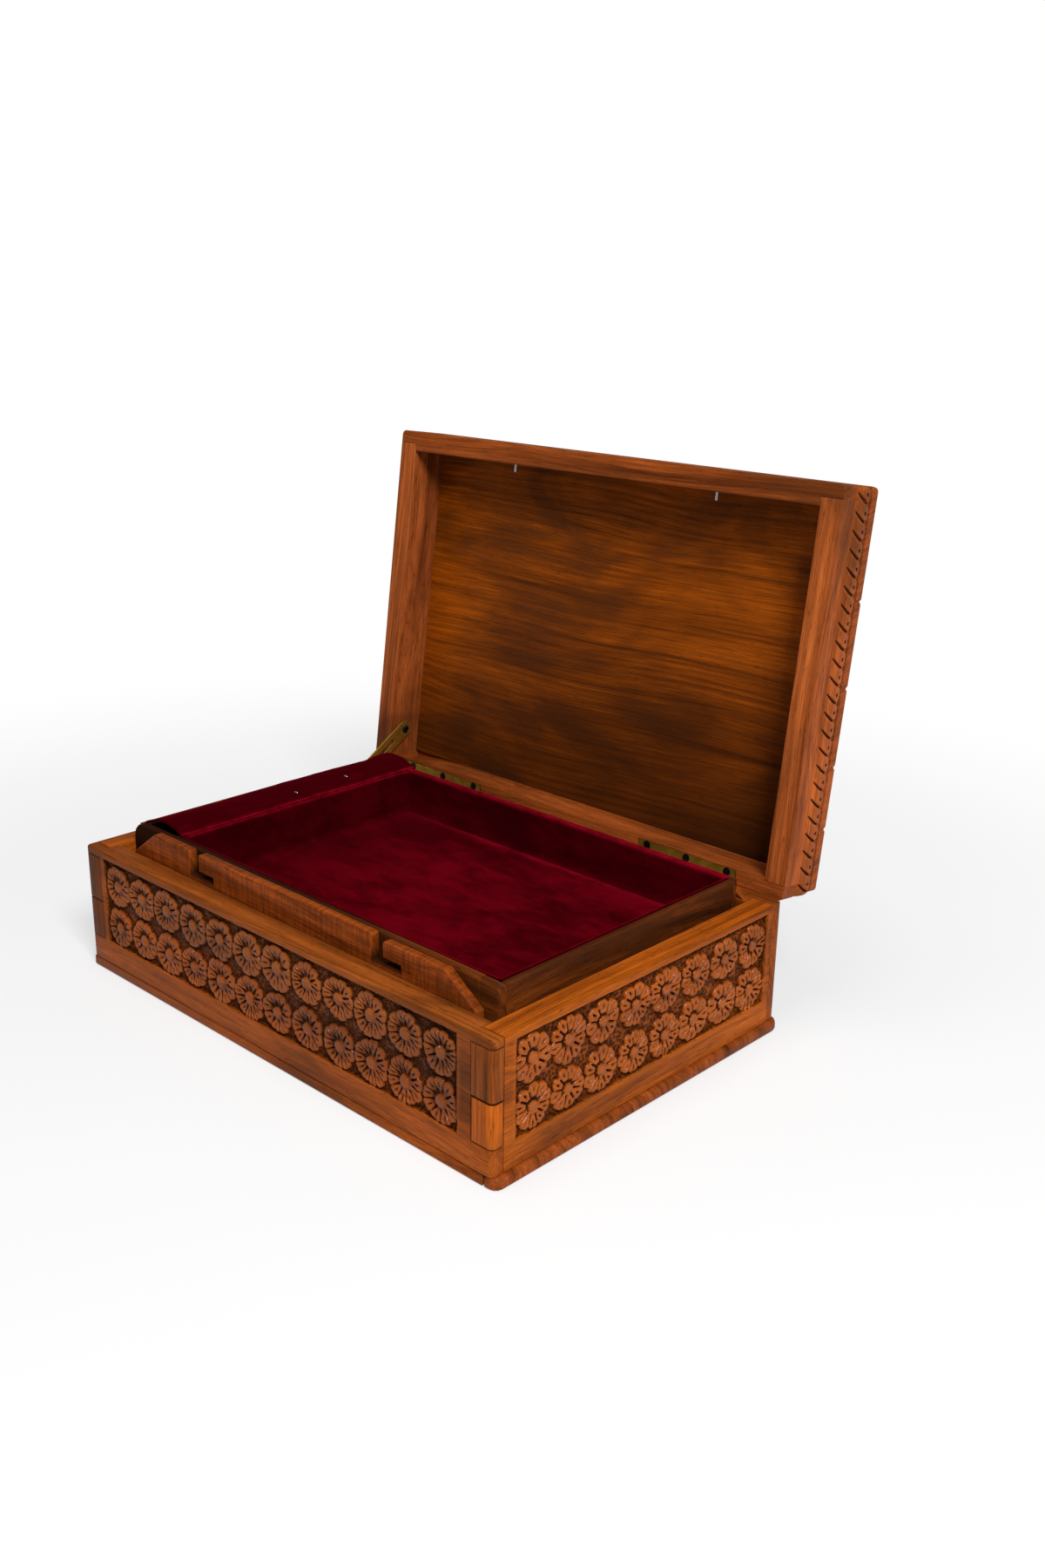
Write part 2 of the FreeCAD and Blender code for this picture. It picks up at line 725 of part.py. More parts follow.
lid_angle = value("stay_lid_angle")
case_angle = value("stay_case_angle")
open_angle = value("lid_open_angle")
pivot_shut = round_the_hinge(lid_angle)
pivot_open = round_the_hinge(lid_angle - open_angle)
slot_pin_place = round_the_hinge(case_angle)
reach_shut = 2 * stay_radius * math.sin(math.radians(case_angle - lid_angle) / 2)
reach_open = 2 * stay_radius * math.sin(math.radians(case_angle - lid_angle + open_angle) / 2)
HEAD_START = "stay_plane + stay_thickness + stay_play"


def stay_screw(label, place, holder):
    """A headed pin that stands out of a side piece and holds the arm."""
    made = new_body(label)
    start = ("stay_plane - stay_hold", "%.6f" % place[0], "%.6f" % place[1])
    reach = "stay_hold + stay_thickness + stay_play"
    rod(made, start, "x", "stay_shank", reach)
    rod(made, (HEAD_START,) + start[1:], "x", "stay_head", "stay_head_depth")
    rod(holder, start, "x", "stay_shank", reach, cut=True)
    return made


stay_screw("stay_pivot_screw", pivot_shut, left_rail)
stay_screw("stay_slot_pin", slot_pin_place, left_side)

arm = new_body("stay_arm")
arm_sketch = new_sketch(arm, "YZ_Plane", "0")
ARM_END = "%.6f + stay_width / 2" % reach_open
draw_outline(arm_sketch, [
    ("0", "-stay_width / 2"),
    (ARM_END, "-stay_width / 2", "-stay_width / 2"),
    (ARM_END, "stay_width / 2"),
    ("0", "stay_width / 2", "-stay_width / 2"),
])
grow(arm, arm_sketch, "stay_thickness")
rod(arm, ("-1", "0", "0"), "x", "stay_shank + stay_play", "stay_thickness + 2", cut=True)
slot_sketch = new_sketch(arm, "YZ_Plane", "0")
SLOT_HALF = "stay_shank + stay_play"
SLOT_NEAR = "%.6f" % reach_shut
SLOT_FAR = "%.6f" % reach_open
draw_outline(slot_sketch, [
    (SLOT_NEAR, "-(" + SLOT_HALF + ")"),
    (SLOT_FAR, "-(" + SLOT_HALF + ")", "-(" + SLOT_HALF + ")"),
    (SLOT_FAR, SLOT_HALF),
    (SLOT_NEAR, SLOT_HALF, "-(" + SLOT_HALF + ")"),
])
carve(arm, slot_sketch, "stay_thickness", reverse=True)

# Carved flowers, raised from the sunk ground of each field

PETALS = 8
PETAL_OUTLINE = ((0.0, 0.80), (0.22, 1.0), (0.78, 1.0))


def flower(owner, plane, ground, x, y, radius, petals, reverse):
    """Raise one flower of broad petals round a point of a board's face."""
    sketch = new_sketch(owner, plane, ground)
    points = []
    for petal in range(petals):
        for share, reach in PETAL_OUTLINE:
            angle = 2 * math.pi * (petal + share) / petals
            points.append(FreeCAD.Vector(value(x) + value(radius) * reach * math.cos(angle),
                                         value(y) + value(radius) * reach * math.sin(angle), 0))
    for index, point in enumerate(points):
        sketch.addGeometry(Part.LineSegment(point, points[(index + 1) % len(points)]))
    for index in range(len(points)):
        sketch.addConstraint(Sketcher.Constraint("Coincident", index - 1 if index else len(points) - 1, 2,
                                                 index, 1))
    return grow(owner, sketch, "flower_relief", reverse)


def flower_row(owner, plane, ground, start, end, height, count, reverse):
    """Repeat a flower along a field, one to each equal share of its length."""
    share = "(%s - %s) / %s" % (end, start, count)
    first = flower(owner, plane, ground, "%s + %s / 2" % (start, share), height,
                   "flower_radius", PETALS, reverse)
    pattern = owner.newObject("PartDesign::LinearPattern", owner.Label + "_row")
    pattern.Originals = [first]
    pattern.Direction = (first.Profile[0], ["H_Axis"])
    bind(pattern, Occurrences=count, Length="%s * (%s - 1)" % (share, count))
    owner.Tip = pattern


FRONT_SPAN = ("field_front_left", "field_front_right")
SIDE_SPAN = ("field_side_front", "field_side_back")
flower_row(front_upper, "XZ_Plane", "-field_depth", *FRONT_SPAN, "row_high", "flowers_front", False)
flower_row(front_lower, "XZ_Plane", "-field_depth", *FRONT_SPAN, "row_low", "flowers_front", False)
for row in ("row_low", "row_high"):
    flower_row(back, "XZ_Plane", "field_depth - case_depth", *FRONT_SPAN, row, "flowers_front", True)
    flower_row(left_side, "YZ_Plane", "field_depth", *SIDE_SPAN, row, "flowers_side", True)
    flower_row(right_side, "YZ_Plane", RIGHT_GROUND, *SIDE_SPAN, row, "flowers_side", False)

TOP_GROUND = "lid_top - field_depth"
CORNER_INSET = "lid_field_margin + 2 * flower_radius"
flower(top, "XY_Plane", TOP_GROUND, "case_width / 2", "case_depth / 2", "medallion_radius", 2 * PETALS, False)
for across in (CORNER_INSET, "case_width - (" + CORNER_INSET + ")"):
    for along in (CORNER_INSET, "case_depth - (" + CORNER_INSET + ")"):
        flower(top, "XY_Plane", TOP_GROUND, across, along, "1.5 * flower_radius", PETALS, False)

# Placements

STAY_NODES = ["stay_arm"]
LID_NODES = [
    "lid_front_rail", "lid_back_rail", "lid_left_rail", "lid_right_rail", "lid_inner_panel",
    "lid_top_board", "lock_pins", "hinge_left_lid_leaf", "hinge_right_lid_leaf",
    "hinge_lid_screws", "stay_pivot_screw",
]
to_middle = FreeCAD.Placement(
    FreeCAD.Vector(-value("case_width") / 2, -value("case_depth") / 2, 0), FreeCAD.Rotation())
along_x = FreeCAD.Vector(1, 0, 0)
swing_open = FreeCAD.Placement(
    FreeCAD.Vector(), FreeCAD.Rotation(along_x, -open_angle), FreeCAD.Vector(0, axis_y, axis_z))
arm_direction = (lid_angle - open_angle + case_angle) / 2 + 90
arm_in_place = FreeCAD.Placement(
    FreeCAD.Vector(value("stay_plane"), *pivot_open), FreeCAD.Rotation(along_x, arm_direction))

bodies = [part for part in doc.Objects if part.TypeId == "PartDesign::Body"]
for part in bodies:
    part.Placement = to_middle
    if part.Label in LID_NODES:
        part.Placement = to_middle.multiply(swing_open)
    if part.Label in STAY_NODES:
        part.Placement = to_middle.multiply(arm_in_place)
doc.recompute()

# Checks, then one file per piece

for item in doc.Objects:
    if "Invalid" in item.State or "Error" in item.State:
        raise RuntimeError("failed feature: " + item.Name)
for part in bodies:
    if part.Shape.isNull() or not part.Shape.isValid():
        raise RuntimeError("bad solid: " + part.Label)
os.makedirs("parts", exist_ok=True)
for part in bodies:
    part.Shape.exportStep("parts/" + part.Label + ".step")
print("pieces:", len(bodies))
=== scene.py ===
import logging
import math
from dataclasses import dataclass
from enum import Enum
from typing import Callable, Sequence

import bmesh
import bpy
import numpy as np
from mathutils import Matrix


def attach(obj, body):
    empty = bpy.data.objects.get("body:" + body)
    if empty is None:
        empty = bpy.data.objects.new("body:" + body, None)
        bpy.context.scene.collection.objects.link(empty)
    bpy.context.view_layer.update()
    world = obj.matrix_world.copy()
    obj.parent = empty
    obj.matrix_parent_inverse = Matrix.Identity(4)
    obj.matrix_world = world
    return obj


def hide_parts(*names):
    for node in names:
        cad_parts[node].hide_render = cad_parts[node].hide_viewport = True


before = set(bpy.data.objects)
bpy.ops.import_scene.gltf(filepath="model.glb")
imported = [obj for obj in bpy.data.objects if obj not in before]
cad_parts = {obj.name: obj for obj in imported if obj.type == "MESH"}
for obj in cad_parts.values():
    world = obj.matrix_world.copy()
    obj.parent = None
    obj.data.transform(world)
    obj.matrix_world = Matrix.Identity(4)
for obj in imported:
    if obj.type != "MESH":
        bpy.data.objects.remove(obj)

LOG = logging.getLogger("jewellery_box")
MM = 0.001

Pair = tuple[float, float]
Triple = tuple[float, float, float]
Colour = tuple[float, float, float, float]
Socket = bpy.types.NodeSocket


# Sizes and the drawing's frame


@dataclass(frozen=True)
class BoxSizes:
    """Main sizes in millimetres, from the front left corner of the case at floor level, lid shut."""

    width: float = 305.0
    depth: float = 203.0
    rim: float = 70.0
    base: float = 6.0
    wall: float = 13.0
    lap: float = 7.0
    corner: float = 2.6
    split: float = 40.9
    block_low: float = 18.8
    block_high: float = 66.0
    lid_low: float = 70.3
    lid_open: float = 97.5
    hinge_y: float = 203.1
    hinge_z: float = 70.15
    hinge_length: float = 63.0
    hinge_starts: Pair = (29.5, 212.5)
    leaf_front: float = 195.4
    seat_play: float = 0.1
    seat_side: float = 0.7
    knuckle_room: float = 2.8
    tray_top: float = 81.0

    def seat_depth(self) -> float:
        """Depth of a hinge leaf's seat from the back."""
        return self.depth - self.leaf_front + self.seat_play

    def over_hinge(self, across: np.ndarray) -> np.ndarray:
        """True at places along the back that lie over a hinge, with a little room at its ends."""
        start = np.array(self.hinge_starts)
        end = start + self.hinge_length + self.seat_side
        return ((across[..., None] > start - self.seat_side) & (across[..., None] < end)).any(-1)

    def side(self, left: bool, thick: float) -> Pair:
        """Outer and inner place of a board of this thickness at the left or the right."""
        return (0.0, thick) if left else (self.width, self.width - thick)


BOX = BoxSizes()


class Body(Enum):
    """Bodies that the pieces ride on."""

    CASE = "case"
    LID = "lid"
    SLIDE = "lock_slide"


class Lie(Enum):
    """How a stack of outlines lies: the outline's two axes, then the axis that it is stacked along."""

    PLAN = (0, 1, 2)
    FRONT = (0, 2, 1)


class Grain(Enum):
    """Way that the fibres of a board run: the order of the axes, the fibres' own axis first."""

    ACROSS = (0, 1, 2)
    INTO = (1, 0, 2)
    UP = (2, 0, 1)


def to_row(points: np.ndarray, body: Body) -> np.ndarray:
    """Carry points from the drawing into the row frame, turning the lid open about its hinge.

    Args:
        points: Points in millimetres of the drawing, with the lid shut.
        body: The body that the points belong to.

    Returns:
        The points in metres of the row frame.
    """
    moved = np.array(points, float)
    if body is Body.LID:
        turn = math.radians(-BOX.lid_open)
        back = points[..., 1] - BOX.hinge_y
        up = points[..., 2] - BOX.hinge_z
        moved[..., 1] = BOX.hinge_y + back * math.cos(turn) - up * math.sin(turn)
        moved[..., 2] = BOX.hinge_z + back * math.sin(turn) + up * math.cos(turn)
    return (moved - np.array([BOX.width / 2, BOX.depth / 2, 0.0])) * MM


# Shapes as whole arrays

# Random numbers along each side of the noise's lattice.
LATTICE = 64
# Points on every rounded corner and edge, and the least radius that is left of a corner.
ARC_POINTS = 4
LEAST_RADIUS = 0.05
# Cosine of the turn between two sides that count as one straight line.
STRAIGHT_COSINE = 0.99999
# Steps longer than any piece, for a stack of its two ends only, and along sides without carving.
ENDS_ONLY = 400.0
PLAIN_STEP = 60.0
# Reach of the mean that hollows are measured against.
HOLLOW_REACH = 2.0


def ramp(low: float, high: float, value: np.ndarray) -> np.ndarray:
    """Smooth step from 0 at low to 1 at high: t squared times (3 - 2 t); high may be below low."""
    share = np.clip((value - low) / (high - low), 0.0, 1.0)
    return share * share * (3.0 - 2.0 * share)


def hill(away: np.ndarray, width: float | np.ndarray) -> np.ndarray:
    """Bell curve of a distance: e to the power of minus the square of distance over width."""
    return np.exp(-(away / width) ** 2)


def soft_noise(x: np.ndarray, y: np.ndarray, size: float, seed: int) -> np.ndarray:
    """Smooth noise from -1 to 1.

    Random numbers stand at the corners of a square lattice, and each point takes the blend
    of its four corners, weighted by smooth steps.

    Args:
        x: First coordinate.
        y: Second coordinate, of a shape that broadcasts with the first.
        size: Spacing of the lattice.
        seed: Seed of the random numbers.

    Returns:
        The noise at each point.
    """
    table = np.random.default_rng(seed).uniform(-1.0, 1.0, (LATTICE, LATTICE))
    across, along = np.broadcast_arrays(x / size, y / size)
    column = np.floor(across).astype(int)
    row = np.floor(along).astype(int)
    right = ramp(0.0, 1.0, across - column)
    up = ramp(0.0, 1.0, along - row)

    def level(line: np.ndarray) -> np.ndarray:
        """Blend of the two nearest corners on one line of the lattice."""
        here = table[column % LATTICE, line % LATTICE]
        ahead = table[(column + 1) % LATTICE, line % LATTICE]
        return here * (1 - right) + ahead * right

    return level(row) * (1 - up) + level(row + 1) * up


def blurred(values: np.ndarray, reach: int) -> np.ndarray:
    """Mean of a grid over a square window, taken twice: differences of running sums on both axes."""
    result = values
    for axis in (0, 1, 0, 1):
        edges = [(0, 0), (0, 0)]
        edges[axis] = (reach + 1, reach)
        sums = np.cumsum(np.pad(result, edges, mode="edge"), axis=axis)
        count = result.shape[axis]
        high = np.take(sums, np.arange(count) + 2 * reach + 1, axis=axis)
        low = np.take(sums, np.arange(count), axis=axis)
        result = (high - low) / (2 * reach + 1)
    return result


def rounded(corners: np.ndarray, radii: np.ndarray) -> np.ndarray:
    """Closed outline with its corners rounded.

    At each corner an arc touches both sides: its centre lies on the bisector at the radius
    over the sine of half the corner's angle.

    Args:
        corners: Corners of the outline in order.
        radii: Radius at each corner, 0 for a sharp one.

    Returns:
        Points of the outline.
    """
    back = np.roll(corners, 1, axis=0) - corners
    ahead = np.roll(corners, -1, axis=0) - corners
    back /= np.linalg.norm(back, axis=1, keepdims=True)
    ahead /= np.linalg.norm(ahead, axis=1, keepdims=True)
    half = np.arccos(np.clip((back * ahead).sum(1), -1, 1)) / 2
    bisector = back + ahead
    bisector /= np.linalg.norm(bisector, axis=1, keepdims=True)
    centre = corners + bisector * (radii / np.sin(half))[:, None]
    first = corners + back * (radii / np.tan(half))[:, None] - centre
    last = corners + ahead * (radii / np.tan(half))[:, None] - centre
    start = np.arctan2(first[:, 1], first[:, 0])
    sweep = np.arctan2(last[:, 1], last[:, 0]) - start
    sweep = (sweep + np.pi) % (2 * np.pi) - np.pi
    angle = start[:, None] + sweep[:, None] * np.linspace(0, 1, ARC_POINTS)
    arc = centre[:, None] + radii[:, None, None] * np.stack([np.cos(angle), np.sin(angle)], axis=-1)
    keep = np.ones((len(corners), ARC_POINTS), bool)
    keep[radii == 0, 1:] = False
    arc[radii == 0] = corners[radii == 0][:, None]
    return arc[keep]


def sampled(outline: np.ndarray, steps: Sequence[float]) -> tuple[np.ndarray, np.ndarray]:
    """Add points along the sides of a closed outline.

    Args:
        outline: Corners of the outline.
        steps: Longest step on each side.

    Returns:
        The points, and for each the number of the side that it starts or lies on.
    """
    ends = np.roll(outline, -1, axis=0)
    lengths = np.linalg.norm(ends - outline, axis=1)
    counts = np.maximum(1, np.ceil(lengths / np.asarray(steps, float))).astype(int)
    side = np.repeat(np.arange(len(outline)), counts)
    order = np.arange(len(side)) - np.repeat(np.cumsum(counts) - counts, counts)
    share = (order / counts[side])[:, None]
    return outline[side] * (1 - share) + ends[side] * share, side


def outward(outline: np.ndarray, moving: np.ndarray) -> np.ndarray:
    """Direction for each point of an outline that shifts the moving sides outwards by one.

    At a corner of sides with normals a and b that move by f and g, the direction d solves
    a.d = f and b.d = g.

    Args:
        outline: Points of a closed outline.
        moving: For the side that starts at each point, 1 if it moves and 0 if it stays.

    Returns:
        One direction for each point.
    """
    ahead = np.roll(outline, -1, axis=0)
    side = ahead - outline
    side /= np.linalg.norm(side, axis=1, keepdims=True)
    turn = np.sign((outline[:, 0] * ahead[:, 1] - ahead[:, 0] * outline[:, 1]).sum())
    normal = np.stack([side[:, 1], -side[:, 0]], axis=1) * turn
    before = np.roll(normal, 1, axis=0)
    was = np.roll(moving, 1)
    cosine = (normal * before).sum(1)
    straight = cosine > STRAIGHT_COSINE
    rest = np.where(straight, 1.0, 1.0 - cosine * cosine)
    past = ((was - moving * cosine) / rest)[:, None] * before
    bent = past + ((moving - was * cosine) / rest)[:, None] * normal
    return np.where(straight[:, None], normal * ((was + moving) / 2)[:, None], bent)


def rounded_levels(low: float, high: float, step: float, radii: Pair) -> tuple[np.ndarray, np.ndarray]:
    """Heights of a stack whose two ends are rounded over.

    Over each end the outline draws in by r (1 - sin a) at the height r (1 - cos a) from
    the end, for a quarter turn of a.

    Args:
        low: Lowest height.
        high: Highest height.
        step: Longest step between the ends.
        radii: Radius of the rounding at the low and at the high end, 0 for a sharp one.

    Returns:
        The heights, and how far the outline draws in at each.
    """
    start, end = (np.linspace(0, np.pi / 2, ARC_POINTS if radius else 1) for radius in radii)
    first = low + radii[0] * (1 - np.cos(start))
    last = high - radii[1] * (1 - np.cos(end[::-1]))
    count = max(1, math.ceil((last[0] - first[-1]) / step))
    middle = np.linspace(first[-1], last[0], count + 1)[1:-1]
    drawn = [radii[0] * (1 - np.sin(start)), np.zeros(len(middle)), radii[1] * (1 - np.sin(end[::-1]))]
    return np.concatenate([first, middle, last]), np.concatenate(drawn)


@dataclass
class Shell:
    """Closed surface: a stack of outlines with a cap at each end, and its marks of carving, dirt and painted
    light.
    """

    rings: np.ndarray
    # Darkening mark: dark polish, dirt and painted shade; below 0 it pales crests as wear and a painted
    # highlight.
    dirt_and_shade: np.ndarray
    ground: np.ndarray
    polish: np.ndarray

    @classmethod
    def stack(cls, lie: Lie, outlines: np.ndarray, heights: np.ndarray) -> "Shell":
        """Stack outlines along an axis.

        Args:
            lie: Axes of the outlines and of the stack.
            outlines: Points of the outline at each height.
            heights: Places of the outlines along the stack.

        Returns:
            The shell, without marks.
        """
        rings = np.empty(outlines.shape[:2] + (3,))
        rings[..., lie.value[0]] = outlines[..., 0]
        rings[..., lie.value[1]] = outlines[..., 1]
        rings[..., lie.value[2]] = heights[:, None]
        return cls.bare(rings)

    @classmethod
    def bare(cls, rings: np.ndarray) -> "Shell":
        """Shell without marks."""
        return cls(rings, *(np.zeros(rings.shape[:2]) for _ in range(3)))


def plain_shell(lie: Lie, corners: Sequence[Pair], ends: Pair, corner: float | Sequence[float] = 0.5,
                edge: Pair = (0.5, 0.5)) -> Shell:
    """Prism with rounded corners and rounded ends.

    Over a rounded end the outline's sides draw in, and its corners are rounded anew by what
    is left of their radius.

    Args:
        lie: Axes of the outline and of the stack.
        corners: Corners of the outline.
        ends: Where the stack starts and ends.
        corner: Radius of the outline's corners, one for all or one for each, 0 for a sharp one.
        edge: Radius of the rounding at each end.

    Returns:
        The shell.
    """
    base = np.array(corners, float)
    radii = np.broadcast_to(np.asarray(corner, float), len(base))
    ways = outward(base, np.ones(len(base)))
    heights, drawn = rounded_levels(*ends, ENDS_ONLY, edge)
    levels = []
    for inset in drawn:
        left = np.where(radii > 0, np.maximum(radii - inset, LEAST_RADIUS), 0)
        levels.append(rounded(base - ways * inset, left))
    return Shell.stack(lie, np.stack(levels), heights)


def rectangle(low: Pair, high: Pair) -> list[Pair]:
    """Four corners of a rectangle from two opposite ones; its first side runs along the first axis."""
    return [(low[0], low[1]), (high[0], low[1]), (high[0], high[1]), (low[0], high[1])]


def upright(low: Pair, high: Pair) -> list[Pair]:
    """Four corners of a rectangle from two opposite ones; its first side runs along the second axis."""
    return [(low[0], low[1]), (low[0], high[1]), (high[0], high[1]), (high[0], low[1])]


def sharp_box(low: Triple, high: Triple) -> Shell:
    """Plain block with sharp edges, for wood that other pieces cover."""
    return plain_shell(Lie.PLAN, rectangle(low[:2], high[:2]), (low[2], high[2]), 0.0, (0.0, 0.0))


CarveRule = Callable[[np.ndarray, np.ndarray], tuple[np.ndarray, np.ndarray]]


def carved_shell(lie: Lie, corners: Sequence[Pair], ends: Pair, carve: CarveRule, run: int, step: float,
                 edge: Pair, moving: Sequence[float]) -> Shell:
    """Board whose first side is carved.

    The carved side and the stack make a grid. Each of its points moves into the wood by the
    depth that the rule gives there. What lies deeper than the mean round it is marked for dark
    polish and painted shade, what stands above it for wear and a painted highlight, and what
    lies below the face is polished.

    Args:
        lie: Axes of the outline and of the stack.
        corners: Corners of the outline; the carved side runs from the first to the second.
        ends: Where the stack starts and ends.
        carve: Rule that gives depth and ground at places along the side and along the stack.
        run: Axis of the outline that the carved side runs along.
        step: Spacing of the grid.
        edge: Radius of the rounding at the stack's ends.
        moving: For each side, 1 where the rounding draws it in and 0 where it stays.

    Returns:
        The shell.
    """
    outline, side = sampled(np.array(corners, float), [step] + [PLAIN_STEP] * (len(corners) - 1))
    ways = outward(outline, np.array(moving, float)[side])
    heights, drawn = rounded_levels(*ends, step, edge)
    face = np.flatnonzero(side == 0)[1:]
    depth, bare = carve(outline[face, run][None], heights[:, None])
    shift = np.repeat(-drawn[:, None], len(outline), axis=1)
    normal = outward(outline, np.ones(len(outline)))
    ways[face] = normal[face]
    shift[:, face] = -drawn[:, None] * moving[0] - depth
    shell = Shell.stack(lie, outline[None] + ways[None] * shift[..., None], heights)
    # Dark polish and painted shade in the hollows, wear and a painted highlight on the crests.
    shell.dirt_and_shade[:, face] = depth - blurred(depth, max(2, round(HOLLOW_REACH / step)))
    shell.ground[:, face] = bare
    shell.polish[:, face] = ramp(0.1, 0.3, depth)
    return shell


@dataclass
class Piece:
    """A named piece made of shells, with the marks that its finish reads."""

    name: str
    nodes: tuple[str, ...]
    body: Body
    slot: str
    shells: list[Shell]
    grain: Grain = Grain.ACROSS
    crisp: float = 40.0

    def build(self, finish: bpy.types.Material) -> bpy.types.Object:
        """Make the mesh, give it its finish, and let it ride on its body and stand for its nodes.

        Args:
            finish: Material of the piece.

        Returns:
            The new object.
        """
        points, starts, loops = self._arrays()
        mesh = bpy.data.meshes.new(self.name)
        mesh.vertices.add(len(points))
        mesh.loops.add(len(loops))
        mesh.polygons.add(len(starts))
        mesh.vertices.foreach_set("co", to_row(points, self.body).ravel())
        mesh.polygons.foreach_set("loop_start", starts)
        mesh.loops.foreach_set("vertex_index", loops)
        mesh.update(calc_edges=True)
        self._mark(mesh, points)
        face_outwards(mesh)
        mesh.shade_smooth()
        mesh.set_sharp_from_angle(angle=math.radians(self.crisp))
        mesh.materials.append(finish)
        piece = bpy.data.objects.new(self.name, mesh)
        bpy.context.scene.collection.objects.link(piece)
        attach(piece, self.body.value)
        if self.nodes:
            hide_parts(*self.nodes)
        LOG.info("%s: %d points on %s", self.name, len(mesh.vertices), self.body.value)
        return piece

    def _arrays(self) -> tuple[np.ndarray, np.ndarray, np.ndarray]:
        """Points, the first corner of each face, and the corners of all faces."""
        points, starts, loops = [], [], []
        base = 0
        corner = 0
        for shell in self.shells:
            rows, columns = shell.rings.shape[:2]
            index = base + np.arange(rows * columns).reshape(rows, columns)
            ahead = np.roll(index, -1, axis=1)
            quads = np.stack([index[:-1], ahead[:-1], ahead[1:], index[1:]], axis=-1).reshape(-1, 4)
            points.append(shell.rings.reshape(-1, 3))
            loops += [quads.ravel(), index[0, ::-1], index[-1]]
            caps = corner + 4 * len(quads)
            starts += [corner + 4 * np.arange(len(quads)), caps + np.array([0, columns])]
            corner = caps + 2 * columns
            base += rows * columns
        return np.concatenate(points), np.concatenate(starts), np.concatenate(loops)

    def _mark(self, mesh: bpy.types.Mesh, points: np.ndarray) -> None:
        """Store where each point lies along and across the fibres, and the marks of carving, dirt and painted
        light.

        Every piece is cut from another place of the wood, which follows from the letters of its name.

        Args:
            mesh: Mesh of the piece.
            points: Its points in millimetres of the drawing.
        """
        cut = np.frombuffer(self.name.encode(), np.uint8).sum() % 97
        grain = points[:, list(self.grain.value)] * MM + cut * np.array([0.131, 0.057, 0.023])
        mesh.attributes.new("grain", "FLOAT_VECTOR", "POINT").data.foreach_set("vector", grain.ravel())
        for name in ("dirt_and_shade", "ground", "polish"):
            marks = np.concatenate([getattr(shell, name).ravel() for shell in self.shells])
            mesh.attributes.new(name, "FLOAT", "POINT").data.foreach_set("value", marks)


def face_outwards(mesh: bpy.types.Mesh) -> None:
    """Turn all faces of closed shells outwards."""
    work = bmesh.new()
    work.from_mesh(mesh)
    bmesh.ops.recalc_face_normals(work, faces=work.faces)
    work.to_mesh(mesh)
    work.free()


# Node trees


@dataclass
class NodeSketch:
    """Short words for making the nodes of a material or a node group."""

    tree: bpy.types.NodeTree

    def feed(self, node: bpy.types.Node, inputs: dict) -> None:
        """Link or set inputs of a node, given by name or number."""
        for name, given in inputs.items():
            if isinstance(given, Socket):
                self.tree.links.new(given, node.inputs[name])
            else:
                node.inputs[name].default_value = given

    def node(self, kind: str, inputs: dict, **settings: object) -> bpy.types.Node:
        """Add a node.

        Args:
            kind: Blender's name of the node type, without its common prefix.
            inputs: Values or sockets for the node's inputs.
            **settings: Properties of the node.

        Returns:
            The node.
        """
        made = self.tree.nodes.new("ShaderNode" + kind)
        for name, setting in settings.items():
            setattr(made, name, setting)
        self.feed(made, inputs)
        return made

    def math(self, operation: str, *values: object, clamp: bool = False) -> Socket:
        """Result of an operation on numbers or sockets."""
        made = self.node("Math", dict(enumerate(values)), operation=operation, use_clamp=clamp)
        return made.outputs[0]

    def times(self, first: Socket, second: object) -> Socket:
        """Product of two numbers."""
        return self.math("MULTIPLY", first, second)

    def plus(self, first: Socket, second: object, clamp: bool = False) -> Socket:
        """Sum of two numbers."""
        return self.math("ADD", first, second, clamp=clamp)

    def mix(self, share: object, first: object, second: object, blend: str = "MIX") -> Socket:
        """Mixture of two colours."""
        made = self.node("Mix", {}, data_type="RGBA", blend_type=blend)
        self.feed(made, {0: share, 6: first, 7: second})
        return made.outputs[2]

    def shaded(self, hue: Socket, shade: Socket) -> Socket:
        """Colour multiplied by a number."""
        grey = self.node("CombineColor", {0: shade, 1: shade, 2: shade}).outputs[0]
        return self.mix(1.0, hue, grey, "MULTIPLY")

    def noise(self, vector: Socket, scale: float, detail: float, rough: float, twist: float = 0.0) -> Socket:
        """Noise from 0 to 1 at a place."""
        made = self.node("TexNoise", {"Vector": vector, "Scale": scale, "Detail": detail,
                                      "Roughness": rough, "Distortion": twist})
        return made.outputs["Fac"]

    def streaks(self, vector: Socket, waves: Triple, detail: float, rough: float,
                twist: float = 0.0) -> Socket:
        """Noise with its own number of waves per metre along each axis."""
        stretched = self.node("Mapping", {"Vector": vector, "Scale": waves}).outputs[0]
        return self.noise(stretched, 1.0, detail, rough, twist)

    def span(self, value: Socket, low: float, high: float, bottom: float = 0.0, top: float = 1.0) -> Socket:
        """Number mapped from one range to another by a smooth step, held at its ends."""
        made = self.node("MapRange", {"Value": value, "From Min": low, "From Max": high,
                                      "To Min": bottom, "To Max": top}, interpolation_type="SMOOTHSTEP")
        return made.outputs[0]

    def ramp(self, share: Socket, stops: Sequence[tuple[float, Colour]]) -> Socket:
        """Colour from a row of stops."""
        made = self.node("ValToRGB", {"Fac": share})
        band = made.color_ramp.elements
        while len(band) < len(stops):
            band.new(0.5)
        for element, (place, colour) in zip(band, stops):
            element.position = place
            element.color = colour
        return made.outputs[0]

    def place(self) -> Socket:
        """Object coordinates."""
        return self.node("TexCoord", {}).outputs["Object"]

    def mark(self, name: str, output: str = "Fac") -> Socket:
        """One of the piece's own marks."""
        return self.node("Attribute", {}, attribute_name=name).outputs[output]

    def bump(self, height: Socket, strength: float, distance: float) -> Socket:
        """Normal of a fine relief."""
        made = self.node("Bump", {"Height": height, "Strength": strength, "Distance": distance})
        return made.outputs[0]


